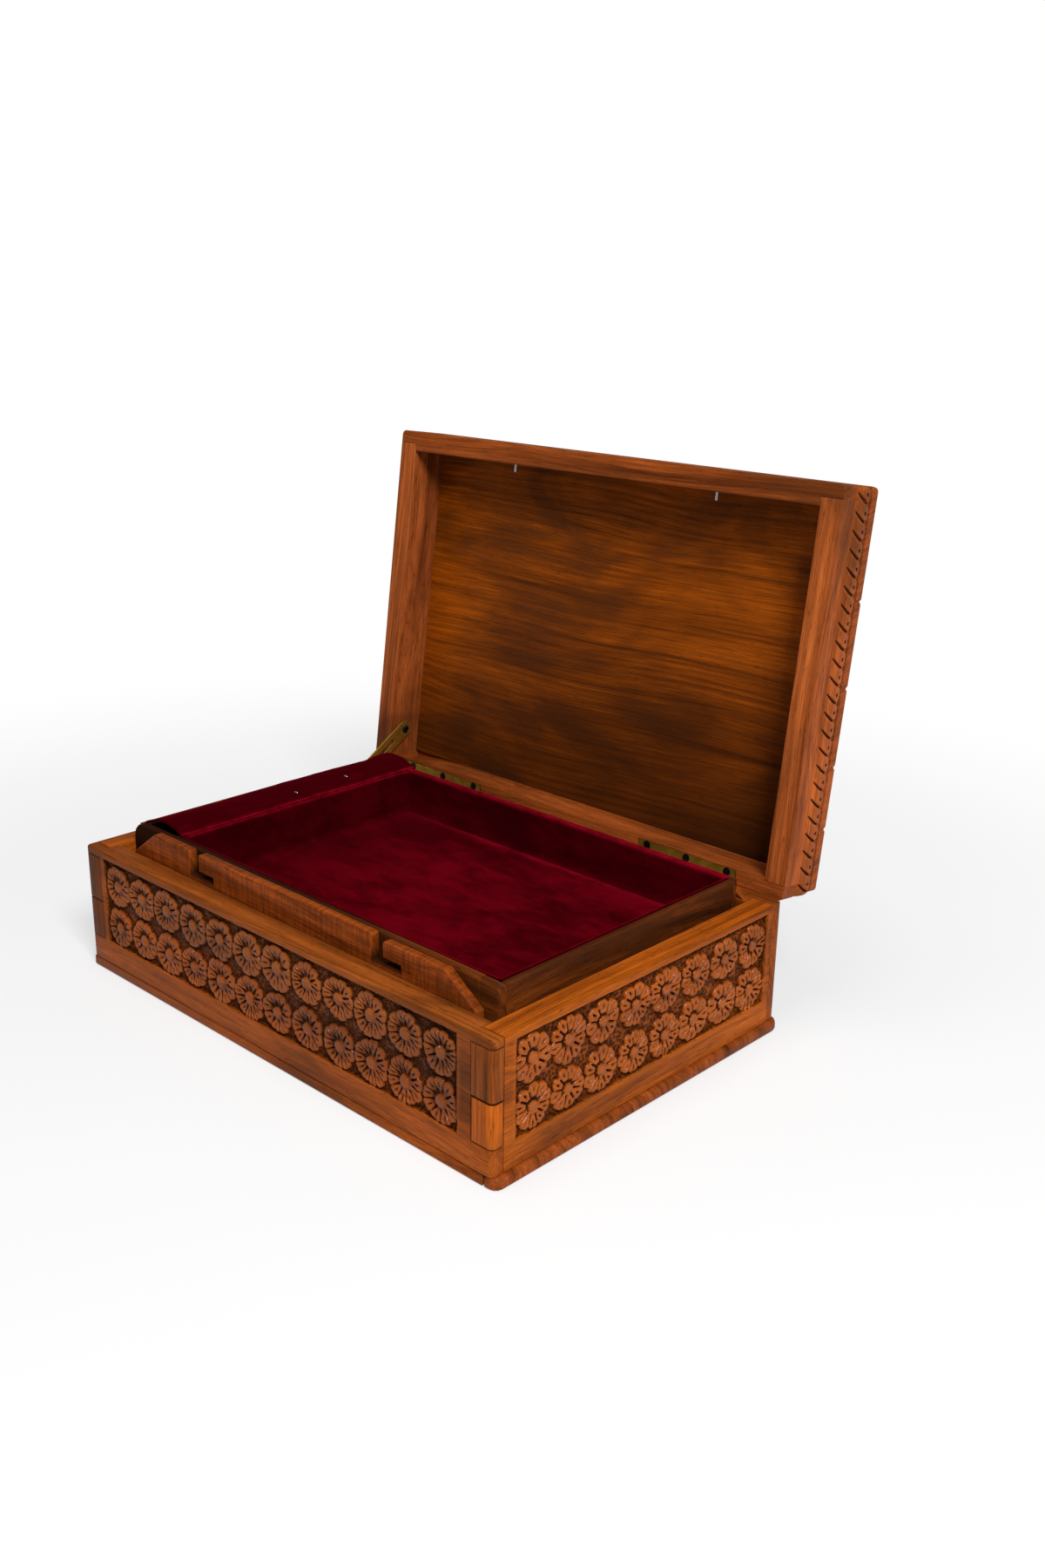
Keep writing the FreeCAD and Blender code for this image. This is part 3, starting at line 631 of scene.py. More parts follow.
def new_material(name: str) -> tuple[bpy.types.Material, NodeSketch, bpy.types.Node]:
    """Start a material.

    Args:
        name: Name of the material.

    Returns:
        The material, the sketch of its tree and its shader.
    """
    made = bpy.data.materials.new(name)
    made.use_nodes = True
    return made, NodeSketch(made.node_tree), made.node_tree.nodes["Principled BSDF"]


class FigureLayer(Enum):
    """Layers of the walnut's figure.

    Each has its waves per metre along, across and through the fibres, then its detail,
    roughness and twist.
    """

    PATCHES = ((9.0, 22.0, 16.0), 3.0, 0.55, 0.6)
    BANDS = ((2.0, 75.0, 20.0), 3.0, 0.55, 0.3)
    LINES = ((7.0, 420.0, 90.0), 3.0, 0.6)
    FIBRE = ((45.0, 1900.0, 900.0), 2.0, 0.6)
    PORES = ((170.0, 2700.0, 1500.0), 1.0, 0.5)


def walnut_figure() -> bpy.types.NodeTree:
    """Node group for the figure of walnut: patches, growth bands, fine lines, fibres and open pores.

    Noise is drawn out along the fibres. A slow noise bends the bands, so that they wander
    and close in places. Pores are short dashes where a very fine noise is high.

    Returns:
        The group.
    """
    tree = bpy.data.node_groups.new("walnut figure", "ShaderNodeTree")
    tree.interface.new_socket("Grain", in_out="INPUT", socket_type="NodeSocketVector")
    for layer in FigureLayer:
        tree.interface.new_socket(layer.name.title(), in_out="OUTPUT", socket_type="NodeSocketFloat")
    sketch = NodeSketch(tree)
    place = tree.nodes.new("NodeGroupInput").outputs["Grain"]
    parts = sketch.node("SeparateXYZ", {"Vector": place}).outputs
    bend = sketch.streaks(place, (3.0, 14.0, 9.0), 2.0, 0.5)
    drift = sketch.times(sketch.math("SUBTRACT", bend, 0.5), 0.03)
    leaned = sketch.times(parts["Z"], 0.35)
    across = sketch.plus(sketch.plus(parts["Y"], drift), leaned)
    bent = sketch.node("CombineXYZ", {"X": parts["X"], "Y": across, "Z": parts["Z"]}).outputs[0]
    layers = {layer.name.title(): sketch.streaks(bent, *layer.value) for layer in FigureLayer}
    layers["Pores"] = sketch.span(layers["Pores"], 0.63, 0.74)
    sketch.feed(tree.nodes.new("NodeGroupOutput"), layers)
    return tree


@dataclass(frozen=True)
class WalnutFinish:
    """One tone of shellacked walnut.

    The figure runs from deep over middle to pale, and fibres and pores darken it. Weathered
    patches and, where the wood is sawn, saw marks lie over it. Hollows of the carving hold dark
    polish and painted shade, stippled ground is full of dark pits, and crests are paler, wear with a
    painted highlight. The same mark darkens plain boards with dirt and painted shade. The carving
    keeps a thick coat of polish, the plain wood is worn matt.

    Gloss is the roughness of the plain wood, fine the share of fine lines in the figure, cloud the
    strength of its patches and sawn that of the saw marks. On CAD nodes, which have no marks, the
    finish lies on the Object coordinates.
    """

    name: str
    pale: Colour
    middle: Colour
    deep: Colour
    gloss: float = 0.40
    fine: float = 0.5
    cloud: float = 0.22
    sawn: float = 0.0
    stain_and_shade: Colour = (0.020, 0.0050, 0.0012, 1.0)
    weathered: Colour = (0.078, 0.0225, 0.0058, 1.0)
    on_nodes: bool = False

    def material(self, figure: bpy.types.NodeTree) -> bpy.types.Material:
        """Make the material.

        Args:
            figure: Node group of the walnut's figure.

        Returns:
            The material.
        """
        made, sketch, shader = new_material(self.name)
        place = sketch.place() if self.on_nodes else sketch.mark("grain", "Vector")
        wood = sketch.node("Group", {"Grain": place}, node_tree=figure).outputs
        dirt_and_shade, ground, polish = (sketch.mark(name) for name in ("dirt_and_shade", "ground", "polish"))
        punch = sketch.node("TexVoronoi", {"Vector": place, "Scale": 620.0}).outputs["Distance"]
        pits = sketch.times(ground, sketch.span(punch, 0.62, 0.30))
        saw = sketch.streaks(place, (900.0, 60.0, 60.0), 2.0, 0.6)
        # Paler crests: wear and a painted highlight. Darker hollows and marked places: dark polish, dirt and
        # painted shade.
        crest = sketch.span(dirt_and_shade, -0.05, -0.50, 0.0, 0.35)
        sunk = sketch.times(sketch.span(dirt_and_shade, 0.04, 0.42), sketch.span(ground, 0.0, 1.0, 0.95, 0.45))
        hue = sketch.mix(crest, self._plain(sketch, wood, saw), self.pale)
        hue = sketch.mix(sketch.times(ground, 0.40), hue, self.deep)
        hue = sketch.mix(sketch.times(pits, 0.85), hue, self.stain_and_shade)
        hue = sketch.mix(sunk, hue, self.stain_and_shade)
        worn = sketch.plus(sketch.span(wood["Fibre"], 0.3, 0.8, -0.04, 0.10), self.gloss)
        rough = sketch.plus(worn, sketch.span(dirt_and_shade, 0.0, 0.5, 0.0, 0.55), clamp=True)
        relief = sketch.plus(sketch.times(wood["Fibre"], 0.14), sketch.times(wood["Pores"], -0.40))
        relief = sketch.plus(relief, sketch.times(saw, 1.6 * self.sawn))
        relief = sketch.math("SUBTRACT", relief, sketch.times(pits, 2.6))
        dull = sketch.math("MAXIMUM", ground, dirt_and_shade)
        coat = sketch.times(polish, sketch.span(dull, 0.0, 0.3, 0.24, 0.02))
        sketch.feed(shader, {"Base Color": hue, "Roughness": rough, "Coat Weight": coat,
                             "Normal": sketch.bump(relief, 0.9, 0.0002),
                             "Coat Roughness": 0.26, "Specular IOR Level": 0.05})
        return made

    def _plain(self, sketch: NodeSketch, wood: bpy.types.NodeOutputs, saw: Socket) -> Socket:
        """Colour of the plain wood.

        Args:
            sketch: Sketch of the material's tree.
            wood: Layers of the figure.
            saw: Noise of the saw marks.

        Returns:
            The colour.
        """
        bands = sketch.times(wood["Bands"], 1 - self.fine)
        figure = sketch.plus(bands, sketch.times(wood["Lines"], self.fine))
        hue = sketch.ramp(figure, [(0.34, self.deep), (0.48, self.middle), (0.63, self.pale)])
        clouds = sketch.span(wood["Patches"], 0.3, 0.7, 1 - self.cloud, 1 + self.cloud)
        shade = sketch.times(sketch.span(wood["Fibre"], 0.25, 0.75, 0.66, 1.24), clouds)
        shade = sketch.times(shade, sketch.span(saw, 0.3, 0.7, 1 - self.sawn, 1 + 0.5 * self.sawn))
        hue = sketch.shaded(hue, shade)
        hue = sketch.mix(sketch.span(wood["Patches"], 0.48, 0.33, 0.0, 0.5), hue, self.weathered)
        return sketch.mix(sketch.times(wood["Pores"], 0.6), hue, self.stain_and_shade)


class WoodTone(Enum):
    """Tones of the walnut on this box."""

    GREYED = WalnutFinish("walnut_greyed", (0.315, 0.077, 0.011, 1), (0.197, 0.046, 0.006, 1),
                          (0.052, 0.015, 0.003, 1))
    WARM = WalnutFinish("walnut_warm", (0.327, 0.072, 0.008, 1), (0.220, 0.046, 0.004, 1),
                        (0.088, 0.018, 0.002, 1))
    BRIGHT = WalnutFinish("walnut_bright", (0.405, 0.093, 0.007, 1), (0.275, 0.058, 0.004, 1),
                          (0.115, 0.023, 0.002, 1))
    FRESH = WalnutFinish("walnut_fresh", (0.590, 0.136, 0.011, 1), (0.412, 0.087, 0.007, 1),
                         (0.172, 0.035, 0.004, 1))
    RED = WalnutFinish("walnut_red", (0.355, 0.079, 0.014, 1), (0.232, 0.050, 0.008, 1),
                       (0.086, 0.018, 0.003, 1))
    RAIL = WalnutFinish("walnut_rail", (0.465, 0.114, 0.024, 1), (0.318, 0.073, 0.015, 1),
                        (0.132, 0.029, 0.006, 1))
    SAWN = WalnutFinish("walnut_sawn", (0.330, 0.068, 0.008, 1), (0.205, 0.039, 0.004, 1),
                        (0.070, 0.014, 0.002, 1), sawn=0.30)
    DARK = WalnutFinish("walnut_dark", (0.325, 0.067, 0.002, 1), (0.212, 0.044, 0.0014, 1),
                        (0.092, 0.020, 0.0008, 1), gloss=0.30, fine=0.55, cloud=0.40)
    AGED = WalnutFinish("walnut_aged", (0.225, 0.050, 0.006, 1), (0.092, 0.021, 0.004, 1),
                        (0.022, 0.008, 0.003, 1), gloss=0.34)
    PLAIN = WalnutFinish("walnut_inner", (0.180, 0.045, 0.007, 1), (0.118, 0.028, 0.004, 1),
                         (0.050, 0.012, 0.002, 1), gloss=0.5, on_nodes=True)


Tones = dict[WoodTone, bpy.types.Material]


# Carving

ANY_ANGLE = 6.28


def to_edge(x: np.ndarray, y: np.ndarray, low: Pair, high: Pair) -> np.ndarray:
    """Distance from the nearest side of a rectangle, positive inside it."""
    return np.minimum(np.minimum(x - low[0], high[0] - x), np.minimum(y - low[1], high[1] - y))


@dataclass(frozen=True)
class FlowerStyle:
    """How the flowers of a field are cut.

    The boss, the bowl's rim and floor and the ends of the cuts are shares of the radius, the
    bowl's depth and the punch are shares of the relief, lean is how much of the bowl lies to one
    side, scallop is the share that the edge draws in between two petals, and width and drop are
    the half widths of the cuts and of the punched drops.
    """

    petals: tuple[int, int]
    boss: float
    bowl: Pair
    deep: float
    lean: float
    cuts: Pair
    width: float
    scallop: float
    punch: float
    drop: float


FRONT_STYLE = FlowerStyle(petals=(8, 11), boss=0.28, bowl=(0.82, 0.40), deep=0.66, lean=0.40,
                          cuts=(0.42, 0.96), width=0.36, scallop=0.13, punch=0.36, drop=0.36)
SIDE_STYLE = FlowerStyle(petals=(8, 10), boss=0.24, bowl=(0.52, 0.28), deep=0.72, lean=0.80,
                         cuts=(0.38, 0.93), width=0.46, scallop=0.17, punch=0.62, drop=0.44)


@dataclass(frozen=True)
class CarvedField:
    """Sunk field with rows of flowers on a stippled ground.

    The field's edge wanders and falls over the width of its wall, the ground is uneven, and each
    flower strays a little from its place. The flowers' tops lie at top below the face.
    """

    start: float
    end: float
    count: int
    style: FlowerStyle
    seed: int
    low: float = 18.5
    high: float = 66.5
    rows: Pair = (29.6, 53.0)
    radius: float = 11.4
    depth: float = 2.4
    top: float = 0.3
    wall: float = 0.6
    wander: float = 0.22
    uneven: float = 0.10
    stray: float = 0.4

    def carve(self, along: np.ndarray, up: np.ndarray) -> tuple[np.ndarray, np.ndarray]:
        """Depth below the face, and the share of bare ground.

        Each place belongs to the flower of its own share of the field. Inside a field's wavy
        edge the wood is sunk to the ground, less the height of the flower there.

        Args:
            along: Places along the board.
            up: Places up the board.

        Returns:
            Depth and ground at each place.
        """
        wave = self.wander * soft_noise(along, up, 6.0, self.seed)
        inner = to_edge(along, up, (self.start, self.low), (self.end, self.high))
        inside = ramp(0.0, self.wall, inner + wave)
        height, reach = self._flowers(along, up)
        floor = self.depth + self.uneven * soft_noise(along, up, 2.3, self.seed + 5)
        depth = inside * (floor - (floor - self.top) * height)
        return depth, inside * ramp(0.97, 1.06, reach)

    def _flowers(self, along: np.ndarray, up: np.ndarray) -> tuple[np.ndarray, np.ndarray]:
        """Height of the flowers from 0 to 1, and the distance from a flower's middle over its radius.

        In polar places round a flower's middle the petals are equal shares of the turn, bent a
        little by slow waves. The height is a boss in a bowl, then petals that drop at a scalloped
        edge. A straight cut parts two petals, and a drop is punched into each.

        Args:
            along: Places along the board.
            up: Places up the board.

        Returns:
            Height and distance at each place.
        """
        rng = np.random.default_rng(self.seed)
        style = self.style
        share = (self.end - self.start) / self.count
        column = np.clip(np.floor((along - self.start) / share), 0, self.count - 1).astype(int)
        centres = np.array(self.rows)
        row = np.abs(up[..., None] - centres).argmin(-1)

        def each(low: float, high: float) -> np.ndarray:
            """One random number for every flower, at the places that it covers."""
            return rng.uniform(low, high, (len(self.rows), self.count))[row, column]

        across = along - self.start - (column + 0.5) * share - each(-self.stray, self.stray)
        rise = (up - centres[row] - each(-self.stray, self.stray)) * each(0.96, 1.06)
        away = np.hypot(across, rise)
        angle = np.arctan2(rise, across)
        petals = np.round(each(style.petals[0] - 0.5, style.petals[1] + 0.49))
        turn = angle / (2 * np.pi) * petals + each(0, 1)
        turn = turn + each(0.05, 0.22) * np.sin(angle + each(0, ANY_ANGLE))
        part = turn - np.floor(turn)
        middle = 1 - 2 * np.abs(part - 0.5)
        ragged = 1 + 0.03 * np.sin(3 * angle + each(0, ANY_ANGLE))
        ragged = ragged + 0.02 * np.sin(5 * angle + each(0, ANY_ANGLE))
        edge = self.radius * each(0.95, 1.04) * ragged * (1 - style.scallop * (1 - middle) ** 3)
        reach = away / edge
        pitch = 2 * np.pi * away / petals
        facing = 0.5 + 0.5 * np.cos(angle - each(1.7, 3.0))
        bowl = style.deep * (1 - style.lean + style.lean * facing)
        petal = 0.97 - bowl * ramp(*style.bowl, reach)
        petal = petal - 0.22 * ramp(0.80, 1.0, reach) - 0.20 * middle ** 2 * ramp(0.45, 0.65, reach)
        start = style.cuts[0] + each(-0.06, 0.03)
        border = (0.5 - np.abs(part - 0.5)) * pitch
        cut = hill(border, style.width * each(0.85, 1.2)) * ramp(start - 0.04, start + 0.04, reach)
        beside = (part - 0.5) * pitch / style.drop
        beyond = (reach - each(0.68, 0.76)) * self.radius / 1.35
        petal = petal - 0.80 * cut * ramp(style.cuts[1], style.cuts[1] - 0.12, reach)
        petal = petal - style.punch * hill(beside ** 2 + beyond ** 2, 1.0)
        boss = 0.62 + 0.38 * np.sqrt(np.clip(1 - (reach / style.boss) ** 2, 0, 1))
        height = np.where(reach < style.boss, boss, np.clip(petal, 0.08, 1))
        return height * ramp(1.03, 0.96, reach), reach


def soiled(shell: Shell, seam: float, ends: Pair) -> np.ndarray:
    """Dark polish in the seams of a let-in block: it fades within a millimetre of its ends and inner side."""
    place = np.minimum(shell.rings[..., 2] - ends[0], ends[1] - shell.rings[..., 2])
    place = np.minimum(place, np.abs(shell.rings[..., 0] - seam))
    return 0.4 * ramp(0.7, 0.1, place)


@dataclass
class Case:
    """Base, carved boards and corner blocks.

    Edges are rounded by worn at the rim, foot at the bottom, seam along the split of the front and
    lapped beside the corner blocks. Laps run into their boards by tenon, a little under the face.
    The mortise and the slot take the lock's tongue and link behind the skin of the lower front
    board. Hinge leaves have room above seat_low, their knuckles above room_low.
    """

    step: float = 0.42
    back_step: float = 0.5
    worn: float = 0.9
    foot: float = 0.4
    seam: float = 0.25
    slit: float = 0.06
    lapped: float = 0.3
    back_rim: float = 0.12
    tenon: float = 0.6
    under: float = 0.02
    lap_corners: tuple[float, ...] = (BOX.corner, 0.0, 0.0, 0.8)
    block_corners: tuple[float, ...] = (BOX.corner, 0.7, 0.3, 0.8)
    plate_corners: tuple[float, ...] = (1.0, 0.0, 0.8, 4.6, 6.0, 1.0)
    strip_end: float = 299.4
    strip_gap: float = 0.6
    strip_depth: float = 12.0
    overhang: float = 2.5
    skin: float = 3.6
    mortise: float = 249.7
    mortise_back: float = 6.8
    mortise_ends: Pair = (23.7, 36.3)
    slot: Pair = (261.7, 283.8)
    slot_ends: Pair = (26.2, 33.8)
    seat_low: float = 68.4
    room_low: float = 67.1

    def build(self, tones: Tones) -> None:
        """Build and dress all pieces of the case."""
        self._base(tones)
        self._front(tones)
        self._back(tones)
        self._sides(tones)
        self._blocks(tones)

    def _base(self, tones: Tones) -> None:
        """Base plate with rounded edges, and the strip along its front."""
        right = BOX.width + self.overhang
        back = BOX.depth + self.overhang
        gap = self.strip_end + self.strip_gap
        front = self.strip_depth
        corners = [(0, front), (gap, front), (gap, 0), (right, 0), (right, back), (0, back)]
        plate = plain_shell(Lie.PLAN, corners, (0, BOX.base), self.plate_corners, (1.4, 2.0))
        Piece("base_board", ("base_plate",), Body.CASE, "walnut", [plate]).build(tones[WoodTone.RED])
        edge = rectangle((0, 0), (self.strip_end, front))
        strip = plain_shell(Lie.PLAN, edge, (0, BOX.base), 0.8, (1.2, 1.4))
        Piece("base_strip", ("base_front_strip",), Body.CASE, "walnut", [strip]).build(tones[WoodTone.WARM])

    def _laps(self, ends: Pair, edge: Pair, front: bool = True) -> list[Shell]:
        """Ends of a front or back board that lap over the side boards, with the case's corners rounded.

        Where a lap runs on into its board it lies a little under the board's face, so that no two
        faces share a place.

        Args:
            ends: Lower and upper end of the laps.
            edge: Radius of the rounding at each end.
            front: True at the front, False at the back.

        Returns:
            The shells at the left and at the right.
        """
        face, inward = (0.0, 1.0) if front else (BOX.depth, -1.0)
        back = face + inward * BOX.lap
        shells = []
        for left in (True, False):
            outer, inner = BOX.side(left, BOX.wall + self.tenon)
            corners = [(outer, face), (inner, face + inward * self.under), (inner, back), (outer, back)]
            levels = (ends[0], ends[1] - self.under)
            shells.append(plain_shell(Lie.PLAN, corners, levels, self.lap_corners, edge))
        return shells

    def _front(self, tones: Tones) -> None:
        """Upper and lower front boards: one carved field that runs over both."""
        carving = CarvedField(start=16, end=284, count=12, style=FRONT_STYLE, seed=11)
        left, right = BOX.wall, BOX.width - BOX.wall
        plan = rectangle((left, 0), (right, BOX.wall))
        board = carved_shell(Lie.PLAN, plan, (BOX.split + self.slit, BOX.rim), carving.carve, 0,
                             self.step, (self.seam, self.worn), (1, 0, 1, 0))
        shells = [board] + self._laps((BOX.block_high, BOX.rim), (self.lapped, self.worn))
        upper = Piece("carved_front_upper", ("front_board_upper",), Body.CASE, "walnut", shells)
        upper.build(tones[WoodTone.GREYED])
        plan = rectangle((left, 0), (right, self.skin))
        skin = carved_shell(Lie.PLAN, plan, (BOX.base, BOX.split), carving.carve, 0,
                            self.step, (self.foot, self.seam), (1, 0, 0, 0))
        laps = self._laps((BOX.base, BOX.block_low), (self.foot, self.lapped))
        shells = [skin] + self._mortised(left, right) + laps
        lower = Piece("carved_front_lower", ("front_board_lower",), Body.CASE, "walnut", shells)
        lower.build(tones[WoodTone.WARM])

    def _mortised(self, left: float, right: float) -> list[Shell]:
        """Wood behind the lower board's face, with the mortise of the tongue and the slot of the link.

        Args:
            left: Left end of the board.
            right: Right end of the board.

        Returns:
            The blocks round the mortise and the slot.
        """
        low, high = BOX.base, BOX.split
        start, middle, back = self.mortise, self.mortise_back, BOX.wall
        slot, end = self.slot
        return [
            sharp_box((left, self.skin, low), (start, back, high)),
            sharp_box((start, self.skin, low), (right, middle, self.mortise_ends[0])),
            sharp_box((start, self.skin, self.mortise_ends[1]), (right, middle, high)),
            sharp_box((start, middle, low), (slot, back, high)),
            sharp_box((slot, middle, low), (end, back, self.slot_ends[0])),
            sharp_box((slot, middle, self.slot_ends[1]), (end, back, high)),
            sharp_box((end, middle, low), (right, back, high)),
        ]

    def _back(self, tones: Tones) -> None:
        """Back board: carved, with the seats of the hinge leaves and room for their knuckles."""
        carving = CarvedField(start=16, end=289, count=12, style=SIDE_STYLE, seed=23)

        def carve(along: np.ndarray, up: np.ndarray) -> tuple[np.ndarray, np.ndarray]:
            """Depth and ground of the flowers, or the depth of a hinge's seat."""
            depth, ground = carving.carve(along, up)
            room = np.where(up > self.room_low, BOX.knuckle_room, 0.0)
            seat = np.where(up > self.seat_low, BOX.seat_depth(), room)
            return np.where(BOX.over_hinge(along), np.maximum(depth, seat), depth), ground

        edge = (self.foot, self.back_rim)
        plan = rectangle((BOX.width - BOX.wall, BOX.depth), (BOX.wall, BOX.depth - BOX.wall))
        levels = (BOX.base, BOX.rim)
        board = carved_shell(Lie.PLAN, plan, levels, carve, 0, self.back_step, edge, (1, 0, 1, 0))
        shells = [board] + self._laps(levels, edge, front=False)
        Piece("carved_back", ("back_board",), Body.CASE, "walnut", shells).build(tones[WoodTone.WARM])

    def _sides(self, tones: Tones) -> None:
        """Carved side boards between the laps of the front and back boards."""
        for name, left, seed in (("left", True, 37), ("right", False, 41)):
            carving = CarvedField(start=14, end=192, count=8, style=SIDE_STYLE, seed=seed)
            outer, inner = BOX.side(left, BOX.wall)
            plan = upright((outer, BOX.lap), (inner, BOX.depth - BOX.lap))
            shell = carved_shell(Lie.PLAN, plan, (BOX.base, BOX.rim), carving.carve, 1, self.step,
                                 (self.foot, self.worn), (1, 0, 1, 0))
            board = Piece("carved_" + name, (name + "_board",), Body.CASE, "walnut", [shell], Grain.INTO)
            board.build(tones[WoodTone.BRIGHT])

    def _blocks(self, tones: Tones) -> None:
        """Corner blocks let into the front boards' ends."""
        lower, upper = (BOX.block_low, BOX.split), (BOX.split, BOX.block_high)
        places = (("left_lower", True, lower, WoodTone.WARM), ("left_upper", True, upper, WoodTone.GREYED),
                  ("right_upper", False, upper, WoodTone.GREYED))
        for name, left, ends, tone in places:
            outer, inner = BOX.side(left, BOX.wall)
            plan = rectangle((outer, 0.0), (inner, BOX.lap))
            shell = plain_shell(Lie.PLAN, plan, ends, self.block_corners, (0.6, 0.6))
            shell.dirt_and_shade += soiled(shell, inner, ends)
            block = Piece("block_" + name, ("corner_block_" + name,), Body.CASE, "walnut", [shell], Grain.UP)
            block.build(tones[tone])


@dataclass
class HiddenLock:
    """Slotted bar and the corner key that carries it.

    The bar's top slopes down left of the shoulder, is worn lower between the right slot and
    worn_end, and slopes down from there. Each slot is an upright leg of slot_width with a foot of
    leg_height that runs to leg_end. The key has play on all sides, and its tongue runs into it by
    tongue_end.
    """

    front: float = 13.3
    back: float = 18.3
    left: float = 26.0
    right: float = 282.0
    low: float = 26.0
    top: float = 84.6
    shoulder: float = 46.0
    worn_top: float = 83.3
    worn_end: float = 262.5
    corner: float = 1.6
    slots: Pair = (77.0, 215.7)
    slot_width: float = 7.2
    leg_end: float = 19.2
    leg_height: float = 3.3
    slot_floor: float = 71.8
    slot_shade: float = 0.35
    play: float = 0.3
    key_corners: tuple[float, ...] = (0.7, BOX.corner, 0.9, 0.4)
    tongue_low: Triple = (250.0, 3.9, 24.0)
    tongue_end: float = 0.5
    tongue_back: float = 6.5
    tongue_top: float = 36.0

    def build(self, tones: Tones) -> None:
        """Build and dress the bar and the key."""
        outline = self._bar_outline()
        outer = (self.low, BOX.rim, self.top, self.worn_top)
        corner = [self.corner if up in outer else 0.0 for _, up in outline]
        wood = plain_shell(Lie.FRONT, outline, (self.front, self.back), corner, (0.7, 0.7))
        # Painted shade on the feet of the slots.
        wood.dirt_and_shade[1:-1] += self.slot_shade * self._in_slot(wood.rings[1:-1])
        bar = Piece("slotted_lock_bar", ("lock_bar",), Body.SLIDE, "walnut", [wood], crisp=50.0)
        bar.build(tones[WoodTone.SAWN])
        left = BOX.width - BOX.wall + self.play
        plan = rectangle((left, 0.0), (BOX.width, BOX.lap - self.play))
        ends = (BOX.block_low + self.play, BOX.split - self.play)
        block = plain_shell(Lie.PLAN, plan, ends, self.key_corners, (0.7, 0.6))
        block.dirt_and_shade += soiled(block, left, ends)
        tongue = sharp_box(self.tongue_low, (left + self.tongue_end, self.tongue_back, self.tongue_top))
        key = Piece("key_block", ("corner_key",), Body.SLIDE, "walnut", [block, tongue], Grain.UP)
        key.build(tones[WoodTone.FRESH])

    def _in_slot(self, points: np.ndarray) -> np.ndarray:
        """1 at points that line the foot of a slot, else 0."""
        foot = np.abs(points[..., 2] - self.slot_floor - self.leg_height / 2) < self.leg_height
        middles = np.array(self.slots) + self.leg_end / 2
        aside = np.abs(points[..., 0, None] - middles).min(-1)
        return (foot & (aside < self.leg_end)).astype(float)

    def _bar_outline(self) -> list[Pair]:
        """Outline of the bar from the front: an L-shaped slot for each lock pin, and a worn right end."""
        points = [(self.left, self.low), (self.right, self.low), (self.right, BOX.rim),
                  (self.worn_end, self.worn_top)]
        leg_top = self.slot_floor + self.leg_height
        for slot, top in zip(reversed(self.slots), (self.worn_top, self.top)):
            points += [(slot + self.slot_width, top), (slot + self.slot_width, leg_top),
                       (slot + self.leg_end, leg_top), (slot + self.leg_end, self.slot_floor),
                       (slot, self.slot_floor), (slot, self.top)]
        return points + [(self.shoulder, self.top), (self.left, BOX.rim)]


@dataclass(frozen=True)
class BorderCuts:
    """Cuts of the lid's border: at each repeat a slanting stroke, a dot above its end and a notch.

    Heights count from the border's lower edge, and the dot's place from the start of the stroke.
    Deep holds the depths of stroke, dot and notch.
    """

    low: float
    high: float
    repeats: int = 116
    stroke_start: float = 1.8
    stroke_run: float = 4.6
    stroke_low: float = 1.2
    stroke_rise: float = 8.0
    dot_place: Pair = (0.6, 8.6)
    dot_size: Pair = (0.85, 1.15)
    notch_place: float = 6.9
    notch_width: float = 1.0
    deep: Triple = (1.1, 1.2, 1.4)

    def depth(self, along: np.ndarray, up: np.ndarray) -> np.ndarray:
        """Depth of the cuts.

        At its share s up the border the stroke has moved ahead by its run times 1 - (1 - s) to the
        power 1.6, and its width swells as a sine. The notch scallops the border's upper edge. The
        cuts differ a little in depth and leave out the lid's corners.

        Args:
            along: Way of each place round the lid's edge.
            up: Height of each place.

        Returns:
            The depth at each place, 0 outside the border.
        """
        turns = np.cumsum([0.0, BOX.width, BOX.depth, BOX.width, BOX.depth])
        place = along % (turns[-1] / self.repeats)
        rise = up - self.low
        ahead = place - self.stroke_start
        share = np.clip((rise - self.stroke_low) / self.stroke_rise, 0, 1)
        apart = 0.8 * (ahead - self.stroke_run * (1 - (1 - share) ** 1.6))
        width = 0.28 + 0.42 * np.sin(np.pi * share)
        stroke = hill(apart, width) * ramp(0.6, 1.6, rise) * ramp(9.6, 8.6, rise)
        beside = (ahead - self.dot_place[0]) / self.dot_size[0]
        beyond = (rise - self.dot_place[1]) / self.dot_size[1]
        dot = hill(beside ** 2 + beyond ** 2, 1.0)
        notch = hill(place - self.notch_place, self.notch_width) * ramp(8.6, 12.2, rise)
        corner = np.abs(along[..., None] - turns).min(-1)
        lively = (0.9 + 0.3 * soft_noise(along, np.full_like(along, 3.0), 6.0, 77)) * ramp(0.6, 2.6, corner)
        depth = np.maximum(self.deep[0] * stroke, np.maximum(self.deep[1] * dot, self.deep[2] * notch))
        return np.where((rise > 0.2) & (up < self.high + 0.01), depth * lively, 0.0)


